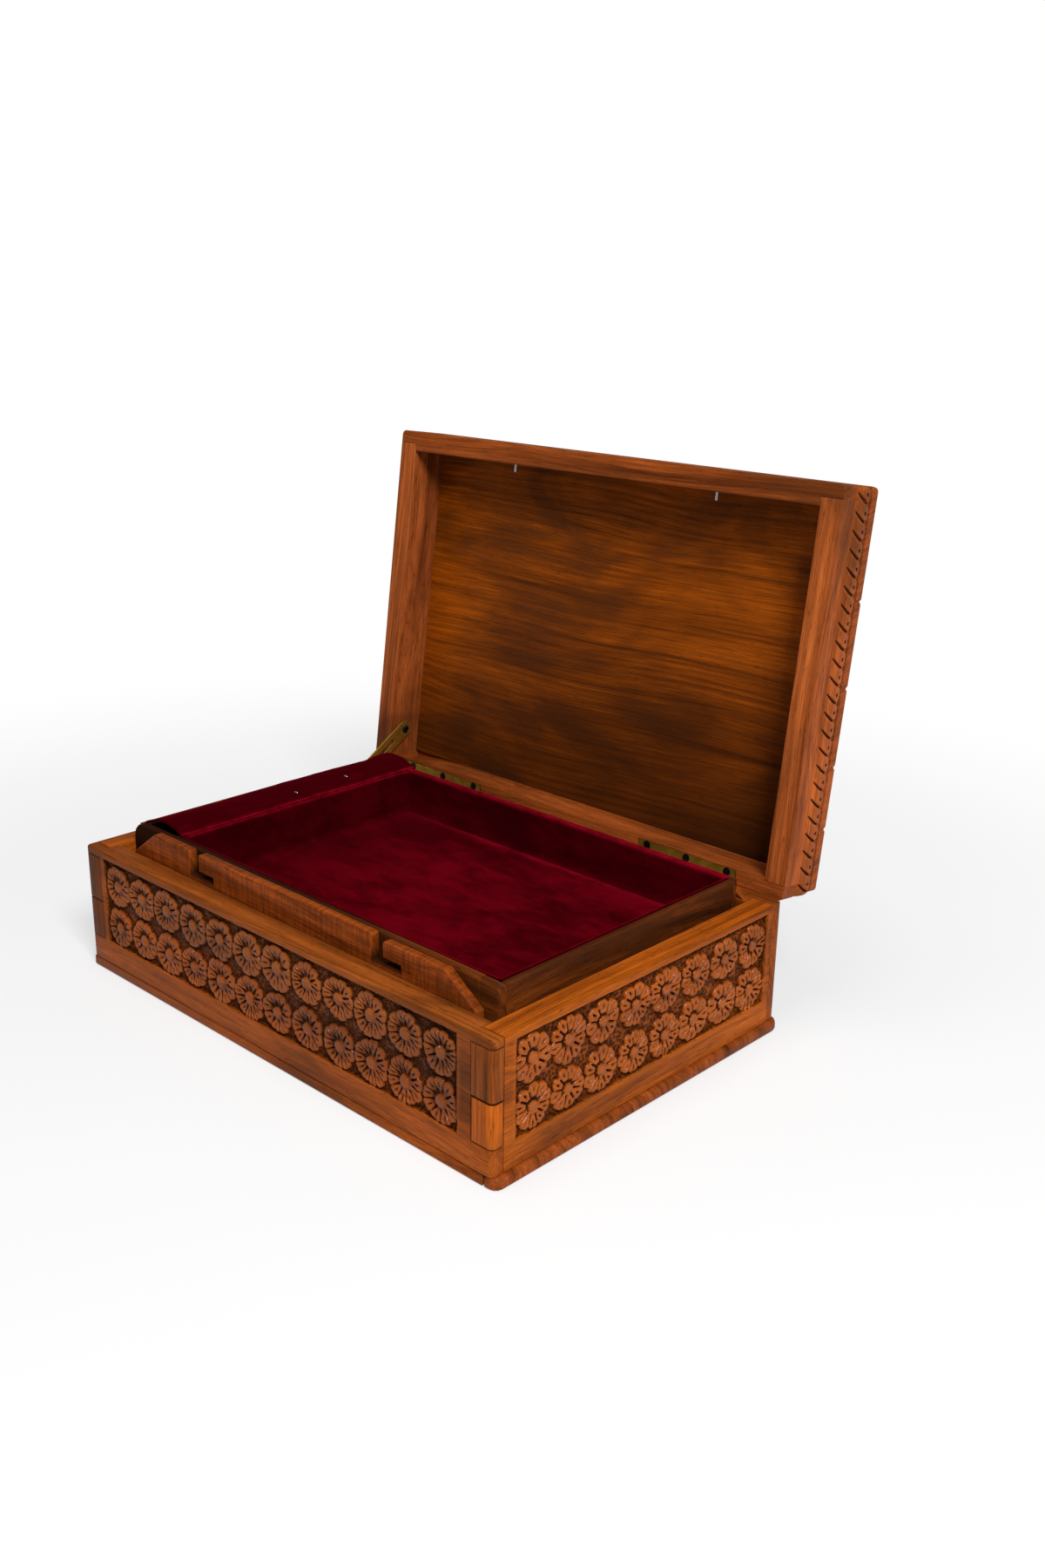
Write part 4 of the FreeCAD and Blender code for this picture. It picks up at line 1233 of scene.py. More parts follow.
@dataclass
class Lid:
    """Rails with a carved border, inner panel and carved top.

    On the outside the rails show a flat part up to strip, the border up to band and a quirk up to
    rail_top. The back rail starts lower by back_sunk, and its foot stands proud by back_foot. Hinge
    leaves and knuckles have room up to seat_top and room_top above the lid's lower edge.
    """

    side: float = 12.4
    front: float = 11.3
    back: float = 8.6
    strip: float = 80.5
    band: float = 93.3
    rail_top: float = 95.0
    top: float = 100.0
    panel: float = 2.0
    quirk: float = 1.6
    swell: float = 1.75
    step: float = 0.42
    inner_step: float = 1.6
    top_step: float = 0.82
    edge: float = 0.6
    back_edge: float = 0.12
    back_sunk: float = 0.2
    back_foot: float = 0.45
    seat_top: float = 1.6
    room_top: float = 2.9
    no_seat: float = -9.0
    inner_shade: float = 0.15
    nicks: tuple[float, ...] = (55.0, 98.0, 138.0, 170.0)
    nick: float = 1.1

    def build(self, tones: Tones) -> None:
        """Build and dress all wooden pieces of the lid."""
        for name, outline, outer, grain in self._plans():
            shell = self._rail(np.array(outline, float), outer, name)
            rail = Piece("lid_rail_" + name, ("lid_%s_rail" % name,), Body.LID, "walnut_red", [shell], grain)
            rail.build(tones[WoodTone.RAIL if grain is Grain.INTO else WoodTone.RED])
        sheet = sharp_box((self.side, self.front, self.rail_top - self.panel),
                          (BOX.width - self.side, BOX.depth - self.back, self.rail_top))
        # Painted shade on the panel, darker to the right and towards the hinges.
        sheet.dirt_and_shade += self._painted_panel_shade(sheet)
        Piece("lid_panel", ("lid_inner_panel",), Body.LID, "walnut_dark", [sheet]).build(tones[WoodTone.DARK])
        self._top(tones)

    def _painted_panel_shade(self, panel: Shell) -> np.ndarray:
        """Painted shade on the inner panel: it grows evenly to the right and towards the hinges."""
        return 0.12 * panel.rings[..., 0] / BOX.width + 0.35 * panel.rings[..., 1] / BOX.depth - 0.08

    def _plans(self) -> list[tuple[str, list[Pair], tuple[int, ...], Grain]]:
        """Name, plan, outer sides and grain of each rail; front and back rails lap over the side rails."""
        width, depth, side = BOX.width, BOX.depth, self.side
        lap, back_lap, inner = BOX.lap, BOX.depth - BOX.lap, BOX.depth - self.back
        front = [(0, 0), (width, 0), (width, lap), (width - side, lap), (width - side, self.front),
                 (side, self.front), (side, lap), (0, lap)]
        back = [(width, depth), (0, depth), (0, back_lap), (side, back_lap), (side, inner),
                (width - side, inner), (width - side, back_lap), (width, back_lap)]
        left = upright((0, back_lap), (side, lap))
        right = upright((width, lap), (width - side, back_lap))
        return [("front", front, (0, 1, 7), Grain.ACROSS), ("back", back, (0, 1, 7), Grain.ACROSS),
                ("left", left, (0,), Grain.INTO), ("right", right, (0,), Grain.INTO)]

    def _rail(self, plan: np.ndarray, outer: tuple[int, ...], name: str) -> Shell:
        """Rail as a stack of its plan: flat strip, border with cuts, quirk under the top.

        The border swells as a parabola on the sides of the lid and is flat on its front and back.
        The back rail has seats for the hinge leaves, a foot that stands a little proud and low,
        and a scoop at the left end of its inner side.

        Args:
            plan: Corners of the rail's plan.
            outer: Sides that show on the outside of the lid.
            name: Name of the rail.

        Returns:
            The shell.
        """
        sides = np.arange(len(plan))
        shows = np.isin(sides, outer).astype(float)
        swelling = np.where(sides == 0, 0.0, shows) if name in ("front", "back") else shows
        outline, side = sampled(plan, np.where(shows > 0, self.step, self.inner_step))
        inner = side == len(plan) // 2
        low, edge = BOX.lid_low, self.edge
        if name == "back":
            low, edge = BOX.lid_low - self.back_sunk, self.back_edge
        heights, drawn = rounded_levels(low, self.band, self.step, (edge, 0.0))
        heights = np.concatenate([heights, [self.band + 0.05, self.rail_top]])
        drawn = np.concatenate([drawn, [0.0, 0.0]])
        up = heights[:, None]
        middle = (self.strip + self.band) / 2
        half = (self.band - self.strip) / 2
        bulge = self.swell * np.clip(1 - ((up - middle) / half) ** 2, 0, 1)
        quirk = np.where(up > self.band, self.quirk, 0.0)
        along = self._round_the_lid(outline, side, name)
        cuts = BorderCuts(self.strip, self.band).depth(along[None], up) * shows[side][None]
        rings = self._eased(outline)[None] + self._spread(plan, outline, side, swelling) * bulge[..., None]
        rings = rings - self._spread(plan, outline, side, shows) * quirk[..., None]
        rings = rings - self._spread(plan, outline, side, np.ones(len(plan))) * drawn[:, None, None]
        rings = rings - outward(outline, shows[side])[None] * cuts[..., None]
        if name == "back":
            rings[..., 1] += np.where(up < self.strip, self.back_foot, 0.0) * np.isin(side, (0, 1))
            flat = outline[None, :, 1] - self._seats(outline[None, :, 0], up, side)
            rings[..., 1] = np.minimum(rings[..., 1], flat)
            rings[..., 1] += self._scoop(outline[None, :, 0], up) * inner
        tall = np.broadcast_to(up[..., None], rings.shape[:2] + (1,))
        shell = Shell.bare(np.concatenate([rings, tall], axis=-1))
        # Dark polish and painted shade in the border's cuts; painted shade on the rails' inner sides.
        shell.dirt_and_shade += 1.5 * (cuts - blurred(cuts, 3)) + self.inner_shade * inner
        return shell

    def _spread(self, plan: np.ndarray, outline: np.ndarray, side: np.ndarray,
                moving: np.ndarray) -> np.ndarray:
        """Ways that shift whole sides: those of the plan's corners, blended along each side between them."""
        ways = outward(plan, moving)
        ahead = np.roll(plan, -1, axis=0)
        share = np.linalg.norm(outline - plan[side], axis=1) / np.linalg.norm(ahead - plan, axis=1)[side]
        return (ways[side] * (1 - share[:, None]) + np.roll(ways, -1, axis=0)[side] * share[:, None])[None]

    def _eased(self, outline: np.ndarray) -> np.ndarray:
        """Plan of a rail with the lid's outer corners rounded.

        A point on an outer side, nearer to a corner than the radius, moves onto the corner's arc:
        it turns from its side by the share of 45 degrees that it is nearer.

        Args:
            outline: Points of the plan.

        Returns:
            The points, those near the corners moved.
        """
        eased = outline.copy()
        half = np.array([BOX.width, BOX.depth]) / 2
        away = half - np.abs(outline - half)
        inward = np.sign(half - outline)
        corner = half - inward * (half - BOX.corner)
        for run in (0, 1):
            near = (away[:, 1 - run] < 0.001) & (away[:, run] < BOX.corner)
            turn = (1 - away[:, run] / BOX.corner) * np.pi / 4
            arc = np.empty_like(outline)
            arc[:, run] = np.sin(turn)
            arc[:, 1 - run] = np.cos(turn)
            eased = np.where(near[:, None], corner - inward * BOX.corner * arc, eased)
        return eased

    def _round_the_lid(self, outline: np.ndarray, side: np.ndarray, name: str) -> np.ndarray:
        """Way of each point round the lid's edge: along the front, the right, the back and the left."""
        turned = {"front": ("front", "right", "left"), "back": ("back", "left", "right")}
        faces = turned.get(name, (name,) * 3)
        across, back = outline[:, 0], outline[:, 1]
        ways = {"front": across, "right": BOX.width + back, "back": 2 * BOX.width + BOX.depth - across,
                "left": 2 * (BOX.width + BOX.depth) - back}
        return np.select([side == 0, side == 1], [ways[faces[0]], ways[faces[1]]], ways[faces[2]])

    def _seats(self, across: np.ndarray, up: np.ndarray, side: np.ndarray) -> np.ndarray:
        """Depth of the hinge seats in the back rail, or a number below the swell where there is none."""
        room = np.where(up < BOX.lid_low + self.room_top, BOX.knuckle_room, self.no_seat)
        deep = np.where(up < BOX.lid_low + self.seat_top, BOX.seat_depth(), room)
        return np.where(BOX.over_hinge(across) & (side[None] == 0), deep, self.no_seat)

    def _scoop(self, across: np.ndarray, up: np.ndarray) -> np.ndarray:
        """Depth of the scoop by the stay: it falls off along the rail as an exponential."""
        depth = 6.0 * np.exp(-(across - self.side) / 13.0) * ramp(70.0, 45.0, across)
        return depth * ramp(BOX.lid_low + 1.8, BOX.lid_low + 2.6, up)

    def _top(self, tones: Tones) -> None:
        """Top board: its section is stacked from front to back, and its upper side is carved."""
        section = rectangle((0.0, self.top), (BOX.width, self.rail_top))
        shell = carved_shell(Lie.FRONT, section, (0.0, BOX.depth), TopCarving().carve, 0, self.top_step,
                             (0.9, 0.9), (1, 1, 0, 1))
        back = shell.rings[..., 1]
        end = np.clip(BOX.corner - np.minimum(back, BOX.depth - back), 0, BOX.corner)
        short = BOX.corner - np.sqrt(BOX.corner ** 2 - end ** 2)
        shell.rings[..., 0] += (BOX.width / 2 - shell.rings[..., 0]) * short / (BOX.width / 2)
        nicks = sum(np.clip(self.nick - np.abs(back - place), 0, None) for place in self.nicks)
        shell.rings[..., 0] -= nicks * np.sign(shell.rings[..., 0] - BOX.width / 2) * (shell.dirt_and_shade == 0)
        board = Piece("carved_lid_top", ("lid_top_board",), Body.LID, "walnut_red", [shell])
        board.build(tones[WoodTone.RED])


@dataclass(frozen=True)
class TopCarving:
    """Relief of the lid's top: a large round flower, four smaller ones and a plain frame."""

    margin: float = 15.0
    medallion: float = 42.0
    inset: float = 36.2
    small: float = 15.9
    depth: float = 2.0
    top: float = 0.2

    def carve(self, along: np.ndarray, up: np.ndarray) -> tuple[np.ndarray, np.ndarray]:
        """Depth below the top and the share of bare ground, from the highest flower at each place."""
        inner = to_edge(along, up, (self.margin, self.margin),
                        (BOX.width - self.margin, BOX.depth - self.margin))
        inside = ramp(0.0, 1.0, inner + 0.2 * soft_noise(along, up, 7.0, 5))
        height = self._rosette(along - BOX.width / 2, up - BOX.depth / 2, self.medallion, 16)
        aside = np.abs(along - BOX.width / 2) - (BOX.width / 2 - self.inset)
        apart = np.abs(up - BOX.depth / 2) - (BOX.depth / 2 - self.inset)
        height = np.maximum(height, self._rosette(aside, apart, self.small, 8))
        depth = inside * (self.depth - (self.depth - self.top) * height)
        return depth, inside * ramp(0.05, 0.0, height)

    def _rosette(self, across: np.ndarray, rise: np.ndarray, radius: float, petals: int) -> np.ndarray:
        """Flower of two rings of petals round a boss: raised shares of the turn, parted by cuts.

        Args:
            across: Places from the flower's middle along the board.
            rise: Places from its middle across the board.
            radius: Radius of the flower.
            petals: Number of petals in the outer ring; the inner one has half as many.

        Returns:
            Height from 0 to 1 at each place.
        """
        away = np.hypot(across, rise)
        turn = np.arctan2(rise, across) / (2 * np.pi)
        outer = self._ring(turn * petals, away, petals, radius, (0.55, 1.0))
        inner = self._ring(turn * (petals // 2) + 0.5, away, petals // 2, radius, (0.24, 0.60))
        boss = np.sqrt(np.clip(1 - (away / radius / 0.2) ** 2, 0, 1))
        return np.maximum(np.maximum(0.8 * outer, inner), 0.5 * (boss > 0) + 0.5 * boss)

    def _ring(self, turn: np.ndarray, away: np.ndarray, petals: int, radius: float, ends: Pair) -> np.ndarray:
        """One ring of petals, with rounded ends and a cut along each spine.

        Args:
            turn: Turn round the flower's middle, counted in petals.
            away: Distance from the middle.
            petals: Number of petals.
            radius: Radius of the flower.
            ends: Shares of the radius where the petals start and end.

        Returns:
            Height from 0 to 1 at each place.
        """
        start, end = ends
        reach = away / radius
        part = turn - np.floor(turn)
        middle = 1 - 2 * np.abs(part - 0.5)
        pitch = 2 * np.pi * away / petals
        edge = end * (1 - 0.16 * (1 - middle) ** 2)
        body = ramp(edge + 0.03, edge - 0.05, reach) * ramp(start - 0.05, start, reach)
        rise = 0.55 + 0.45 * ramp(start, end * 0.85, reach)
        border = hill((0.5 - np.abs(part - 0.5)) * pitch, 0.8)
        spine = hill(np.abs(part - 0.5) * pitch, 0.7)
        spine = spine * ramp(start, start + 0.12, reach) * ramp(edge, edge - 0.1, reach)
        return body * np.clip(rise - 0.7 * border - 0.35 * spine, 0, 1)


@dataclass
class Tray:
    """Thin walls of the lined tray."""

    front: float = 22.1
    back: float = 189.9
    left: float = 47.0
    right: float = 287.5
    board: float = 4.0
    low: float = 54.0
    post: float = 12.0
    back_corners: tuple[float, ...] = (0.3, 0.2, 2.5, 0.3)
    post_corners: tuple[float, ...] = (0.0, 2.6, 0.3, 0.0)
    face_corners: tuple[float, ...] = (0.3, 0.0, 0.0, 8.0)
    face_shade: Pair = (0.62, 0.12)

    def build(self, tones: Tones) -> None:
        """Build and dress the four walls."""
        front = self.front + self.board
        back = self.back - self.board
        levels = (self.low, BOX.tray_top)
        walls = (
            ("back", rectangle((self.left, back), (self.right, self.back)), self.back_corners, Grain.ACROSS),
            ("left", rectangle((self.left, front), (self.left + self.board, back)), 0.2, Grain.INTO),
            ("right", rectangle((self.right - self.board, front), (self.right, back)), 0.2, Grain.INTO),
        )
        for name, plan, corner, grain in walls:
            shell = self._aged(plain_shell(Lie.PLAN, plan, levels, corner, (0.2, 1.4)))
            wall = Piece("tray_wall_" + name, ("tray_%s_wall" % name,), Body.CASE, "walnut_dark",
                         [shell], grain)
            wall.build(tones[WoodTone.AGED])
        joint = self.right - self.post
        plan = rectangle((joint, self.front), (self.right, front))
        post = self._aged(plain_shell(Lie.PLAN, plan, levels, self.post_corners, (0.2, 1.2)))
        face = rectangle((BOX.wall, self.low), (joint, BOX.tray_top))
        board = plain_shell(Lie.FRONT, face, (self.front, front), self.face_corners, (0.6, 0.3))
        # Painted shade on the front wall's face behind the bar, darker to the left.
        board.dirt_and_shade += np.interp(board.rings[..., 0], (BOX.wall, joint), self.face_shade)
        wall = Piece("tray_wall_front", ("tray_front_wall",), Body.CASE, "walnut_dark", [post, board])
        wall.build(tones[WoodTone.AGED])

    def _aged(self, wall: Shell) -> Shell:
        """Darken a wall towards its top, where hands have worn it."""
        wall.dirt_and_shade += 0.2 * ramp(self.low, BOX.tray_top, wall.rings[..., 2])
        return wall


# Velvet


@dataclass(frozen=True)
class VelvetFinish:
    """Crimson velvet: dark pile with brushed patches, painted sheen highlights along edges and folds, and
    painted shade.
    """

    name: str = "velvet_crimson"
    brushed: Colour = (0.112, 0.0006, 0.0044, 1.0)
    shaded: Colour = (0.036, 0.0002, 0.0015, 1.0)
    sheen_highlight: Colour = (0.250, 0.0024, 0.0125, 1.0)
    tint: Colour = (0.80, 0.01, 0.05, 1.0)

    def material(self) -> bpy.types.Material:
        """Make the material."""
        made, sketch, shader = new_material(self.name)
        place = sketch.place()
        patches = sketch.streaks(place, (22.0, 34.0, 60.0), 3.0, 0.55, 0.25)
        strokes = sketch.streaks(place, (70.0, 150.0, 190.0), 3.0, 0.6, 0.3)
        pile = sketch.noise(place, 2400.0, 2.0, 0.6)
        nap = sketch.plus(sketch.times(patches, 0.65), sketch.times(strokes, 0.35))
        # Painted sheen highlight, from the ground mark.
        edge = sketch.times(sketch.mark("ground"), sketch.span(strokes, 0.25, 0.7, 0.25, 0.9))
        hue = sketch.mix(sketch.span(nap, 0.36, 0.66), self.shaded, self.brushed)
        hue = sketch.mix(edge, hue, self.sheen_highlight)
        # Painted shade from the darkening mark.
        hue = sketch.mix(sketch.mark("dirt_and_shade"), hue, self.shaded)
        hue = sketch.shaded(hue, sketch.span(pile, 0.25, 0.75, 0.72, 1.2))
        sketch.feed(shader, {"Base Color": hue, "Normal": sketch.bump(pile, 0.5, 0.0004), "Roughness": 0.95,
                             "Specular IOR Level": 0.0, "Sheen Weight": 0.16, "Sheen Roughness": 0.35,
                             "Sheen Tint": self.tint})
        return made


@dataclass
class Lining:
    """Velvet of the tray: padded floor, wall linings and the arched ledge.

    The pad carries a painted shadow of the left wall over the width given by shadow. The cloth
    also carries painted shade, and painted sheen highlights along edges and folds. The back lining
    folds over its wall by lip. The ledge springs beside the case's left board, lands on the tray's
    wall, then bends and falls into the tray.
    """

    left: float = 51.0
    right: float = 283.5
    front: float = 26.1
    back: float = 185.9
    low: float = 54.0
    pad: float = 2.2
    pad_low: float = 1.2
    step: float = 1.5
    crisp: float = 80.0
    thick: float = 1.0
    shadow: float = 75.0
    lip: float = 2.2
    lip_levels: Pair = (0.6, 0.75)
    cut_height: float = 0.027
    folded_height: float = 0.031
    spring: Pair = (17.5, 80.2)
    landing: Pair = (51.0, 82.2)
    arch: float = 36.0
    arch_points: int = 34
    bend: float = 1.5
    fall: Triple = (1.0, 2.0, 3.2)
    cloth: float = 1.2
    ledge_back: float = 189.9

    def build(self, velvet: bpy.types.Material) -> None:
        """Build and dress all velvet pieces."""
        self._floor(velvet)
        self._walls(velvet)
        self._ledge(velvet)

    def _floor(self, velvet: bpy.types.Material) -> None:
        """Thin pad on the tray's floor: its top swells from the edges and has shallow waves."""

        def sink(along: np.ndarray, back: np.ndarray) -> tuple[np.ndarray, np.ndarray]:
            """Depth below the pad's top, and a painted sheen highlight along its edges, strongest at the
            back.
            """
            edge = to_edge(along, back, (self.left, self.front), (self.right, self.back))
            waves = 0.30 * soft_noise(along, back, 36.0, 3) + 0.14 * soft_noise(along, back, 11.0, 4)
            crease = 0.35 * hill(edge - 5.0 - soft_noise(along, back, 30.0, 8), 0.9)
            depth = 0.7 * ramp(6.0, 0.0, edge) + crease - waves * ramp(1.0, 9.0, edge) - 0.1
            return depth, 0.45 * hill(self.back - back - 3.0, 2.6) + 0.15 * hill(edge - 3.0, 2.6)

        section = rectangle((self.left, self.low + self.pad), (self.right, self.low))
        cloth = carved_shell(Lie.FRONT, section, (self.front, self.back), sink, 0, self.step,
                             (0.4, 0.4), (1, 1, 0, 1))
        # Painted shadow of the left wall on the pad.
        cloth.dirt_and_shade += 0.6 * ramp(self.left + self.shadow, self.left, cloth.rings[..., 0])
        pad = Piece("velvet_pad", ("velvet_floor",), Body.CASE, "velvet", [cloth], crisp=self.crisp)
        pad.build(velvet)

    def _walls(self, velvet: bpy.types.Material) -> None:
        """Lining of each tray wall; that of the back wall folds over the wall's top edge."""
        front, back, left, right, thick = self.front, self.back, self.left, self.right, self.thick
        walls = (
            ("front", rectangle((right, front + thick), (left, front)), 0, 0.45),
            ("back", rectangle((left, back - thick), (right, back)), 0, 0.45),
            ("left", upright((left + thick, front), (left, back)), 1, 0.6),
            ("right", upright((right - thick, back), (right, front)), 1, 0.45),
        )
        levels = (self.low + self.pad_low, BOX.tray_top + 0.3)
        for seed, (name, plan, run, flat) in enumerate(walls):
            cloth = carved_shell(Lie.PLAN, plan, levels, self._swell(seed), run, self.step,
                                 (0.0, 0.5), (1, 0, 0, 0))
            # Painted shade by flat, most on the left wall, except along the painted highlight.
            cloth.dirt_and_shade += flat * (1 - cloth.ground)
            shells, height = [cloth], self.cut_height
            if name == "back":
                shells, height = [cloth, self._fold()], self.folded_height
            lining = Piece("velvet_lining_" + name, ("velvet_" + name,), Body.CASE, "velvet", shells,
                           crisp=self.crisp)
            lining.build(velvet)

    def _fold(self) -> Shell:
        """Fold of the back lining over its wall, with a painted sheen highlight."""
        plan = rectangle((self.left, self.back - self.thick), (self.right, self.back + self.lip))
        levels = (BOX.tray_top - self.lip_levels[0], BOX.tray_top + self.lip_levels[1])
        fold = plain_shell(Lie.PLAN, plan, levels, 0.6, (0.0, 0.5))
        # Painted sheen highlight on the fold.
        fold.ground += 0.8
        return fold

    def _swell(self, seed: int) -> CarveRule:
        """Rule for the shallow waves of a wall's cloth and the painted sheen highlight along its top and
        foot.
        """

        def waves(along: np.ndarray, up: np.ndarray) -> tuple[np.ndarray, np.ndarray]:
            """Depth of the waves, and the share of painted sheen highlight."""
            deep = 0.16 * soft_noise(along, up, 24.0, 60 + seed)
            deep = deep + 0.10 * soft_noise(along, up, 8.0, 70 + seed)
            sheen_highlight = 0.8 * ramp(79.4, 81.0, up) + 0.3 * ramp(59.0, 57.0, up)
            return -0.12 - np.abs(deep) * ramp(81.2, 79.0, up), sheen_highlight

        return waves

    def _ledge(self, velvet: bpy.types.Material) -> None:
        """Cloth arched over the left channel: an arc, a turn over the tray's wall and a short fall.

        Folds run from front to back and fade towards both ends of the section. The cloth lifts a
        little at its front and back ends. A painted sheen highlight lies where it turns, at its spring and
        in patches, and painted shade darkens the rest.

        Args:
            velvet: Material of the cloth.
        """
        path = self._arch()
        step = np.gradient(path, axis=0)
        lengths = np.linalg.norm(step, axis=1, keepdims=True)
        normal = np.stack([-step[:, 1], step[:, 0]], axis=1) / lengths
        outline = np.concatenate([path, (path - normal * self.cloth)[::-1]])
        ways = np.concatenate([normal, normal[::-1]])
        order = np.arange(len(path))
        place = np.concatenate([order, order[::-1]])[None] / len(path)
        heights, _ = rounded_levels(self.front, self.ledge_back, self.step, (0.0, 0.0))
        back = heights[:, None]
        wide = place * 60
        folds = 0.45 * soft_noise(wide, back * 0.22, 8.0, 12) + 0.15 * soft_noise(wide, back, 6.0, 13)
        lift = 1.2 * ramp(178.0, 190.0, back) * ramp(0.55, 0.1, place) + 0.5 * ramp(34.0, 26.0, back)
        shift = folds * ramp(0.0, 0.12, place) * ramp(0.97, 0.8, place) + lift
        sheen_highlight = 0.9 * hill(place - 0.80, 0.035) + 0.5 * ramp(0.08, 0.0, place)
        sheen_highlight = np.clip(sheen_highlight + 0.25 * np.abs(soft_noise(wide, back * 0.3, 5.0, 14)), 0, 1)
        shell = Shell.stack(Lie.FRONT, outline[None] + ways[None] * shift[..., None], heights)
        # Painted sheen highlight where it turns, painted shade on the rest of the cloth.
        shell.ground += sheen_highlight
        shell.dirt_and_shade += 1.0 - sheen_highlight
        ledge = Piece("velvet_arch", ("velvet_ledge",), Body.CASE, "velvet", [shell], crisp=self.crisp)
        ledge.build(velvet)

    def _arch(self) -> np.ndarray:
        """Path of the ledge's cloth in its section: the arc, then a turn and a fall inside the tray."""
        start, end = np.array(self.spring), np.array(self.landing)
        chord = end - start
        half = np.linalg.norm(chord) / 2
        across = np.array([-chord[1], chord[0]]) / (2 * half)
        centre = (start + end) / 2 - across * math.sqrt(self.arch ** 2 - half ** 2)
        first = math.atan2(*(start - centre)[::-1])
        last = math.atan2(*(end - centre)[::-1])
        angle = np.linspace(first, last, self.arch_points)
        arc = centre + self.arch * np.stack([np.cos(angle), np.sin(angle)], axis=1)
        turn = np.linspace(np.pi / 3, 0, 6)[1:]
        bend = end + self.bend * np.stack([np.cos(turn) - 0.5, np.sin(turn) - np.sin(np.pi / 3)], axis=1)
        fall = bend[-1] + np.stack([np.zeros(3), -np.array(self.fall)], axis=1)
        return np.concatenate([arc, bend, fall])


# Hardware


@dataclass(frozen=True)
class MetalFinish:
    """Metal with patches of tarnish."""

    name: str
    clean: Colour
    dull: Colour
    smooth: float
    rough: float

    def material(self) -> bpy.types.Material:
        """Make the material."""
        made, sketch, shader = new_material(self.name)
        place = sketch.place()
        stain = sketch.span(sketch.noise(place, 160.0, 4.0, 0.65, 0.6), 0.38, 0.66)
        grain = sketch.streaks(place, (300.0, 4000.0, 4000.0), 2.0, 0.5)
        sketch.feed(shader, {"Base Color": sketch.mix(stain, self.clean, self.dull),
                             "Roughness": sketch.span(stain, 0.0, 1.0, self.smooth, self.rough),
                             "Normal": sketch.bump(grain, 0.25, 0.0001), "Metallic": 1.0})
        return made


class Metal(Enum):
    """Metals on this box."""

    BRASS = MetalFinish("brass_tarnished", (0.78, 0.50, 0.07, 1), (0.40, 0.22, 0.040, 1), 0.42, 0.60)
    STEEL = MetalFinish("steel_dark", (0.055, 0.052, 0.057, 1), (0.022, 0.021, 0.022, 1), 0.34, 0.5)
    BRIGHT = MetalFinish("steel_bright", (0.78, 0.78, 0.80, 1), (0.55, 0.55, 0.57, 1), 0.2, 0.32)


@dataclass(frozen=True)
class SlottedScrew:
    """Screw with a domed head and a slot; it stands on a place and faces along one axis."""

    head: float
    dome: float
    shank: float
    length: float
    sides: int = 36

    def shell(self, place: Triple, axis: int, way: float, turn: float) -> Shell:
        """Revolve the screw's profile; points near the slot's line sink by the slot's depth.

        Args:
            place: Middle of the head's underside.
            axis: Axis that the head faces along.
            way: 1 or -1, for the way along that axis.
            turn: Angle of the slot.

        Returns:
            The shell.
        """
        rise = np.linspace(0, np.radians(86), 10)
        radius = np.concatenate([[self.shank, self.shank, self.head], self.head * np.cos(rise)])
        height = np.concatenate([[-self.length, -0.02, -0.01], self.dome * (0.25 + 0.75 * np.sin(rise))])
        angle = np.linspace(0, 2 * np.pi, self.sides, endpoint=False)
        across = radius[:, None] * np.cos(angle)
        along = radius[:, None] * np.sin(angle)
        off = np.abs(across * math.sin(turn) - along * math.cos(turn))
        slot = 0.16 * self.head
        domed = (height > 0.2 * self.dome)[:, None]
        tall = height[:, None] - 0.7 * self.dome * ramp(1.5 * slot, slot, off) * domed
        rings = np.empty(across.shape + (3,))
        rings[..., axis] = place[axis] + way * tall
        rings[..., (axis + 1) % 3] = place[(axis + 1) % 3] + across
        rings[..., (axis + 2) % 3] = place[(axis + 2) % 3] + along
        return Shell.bare(rings)


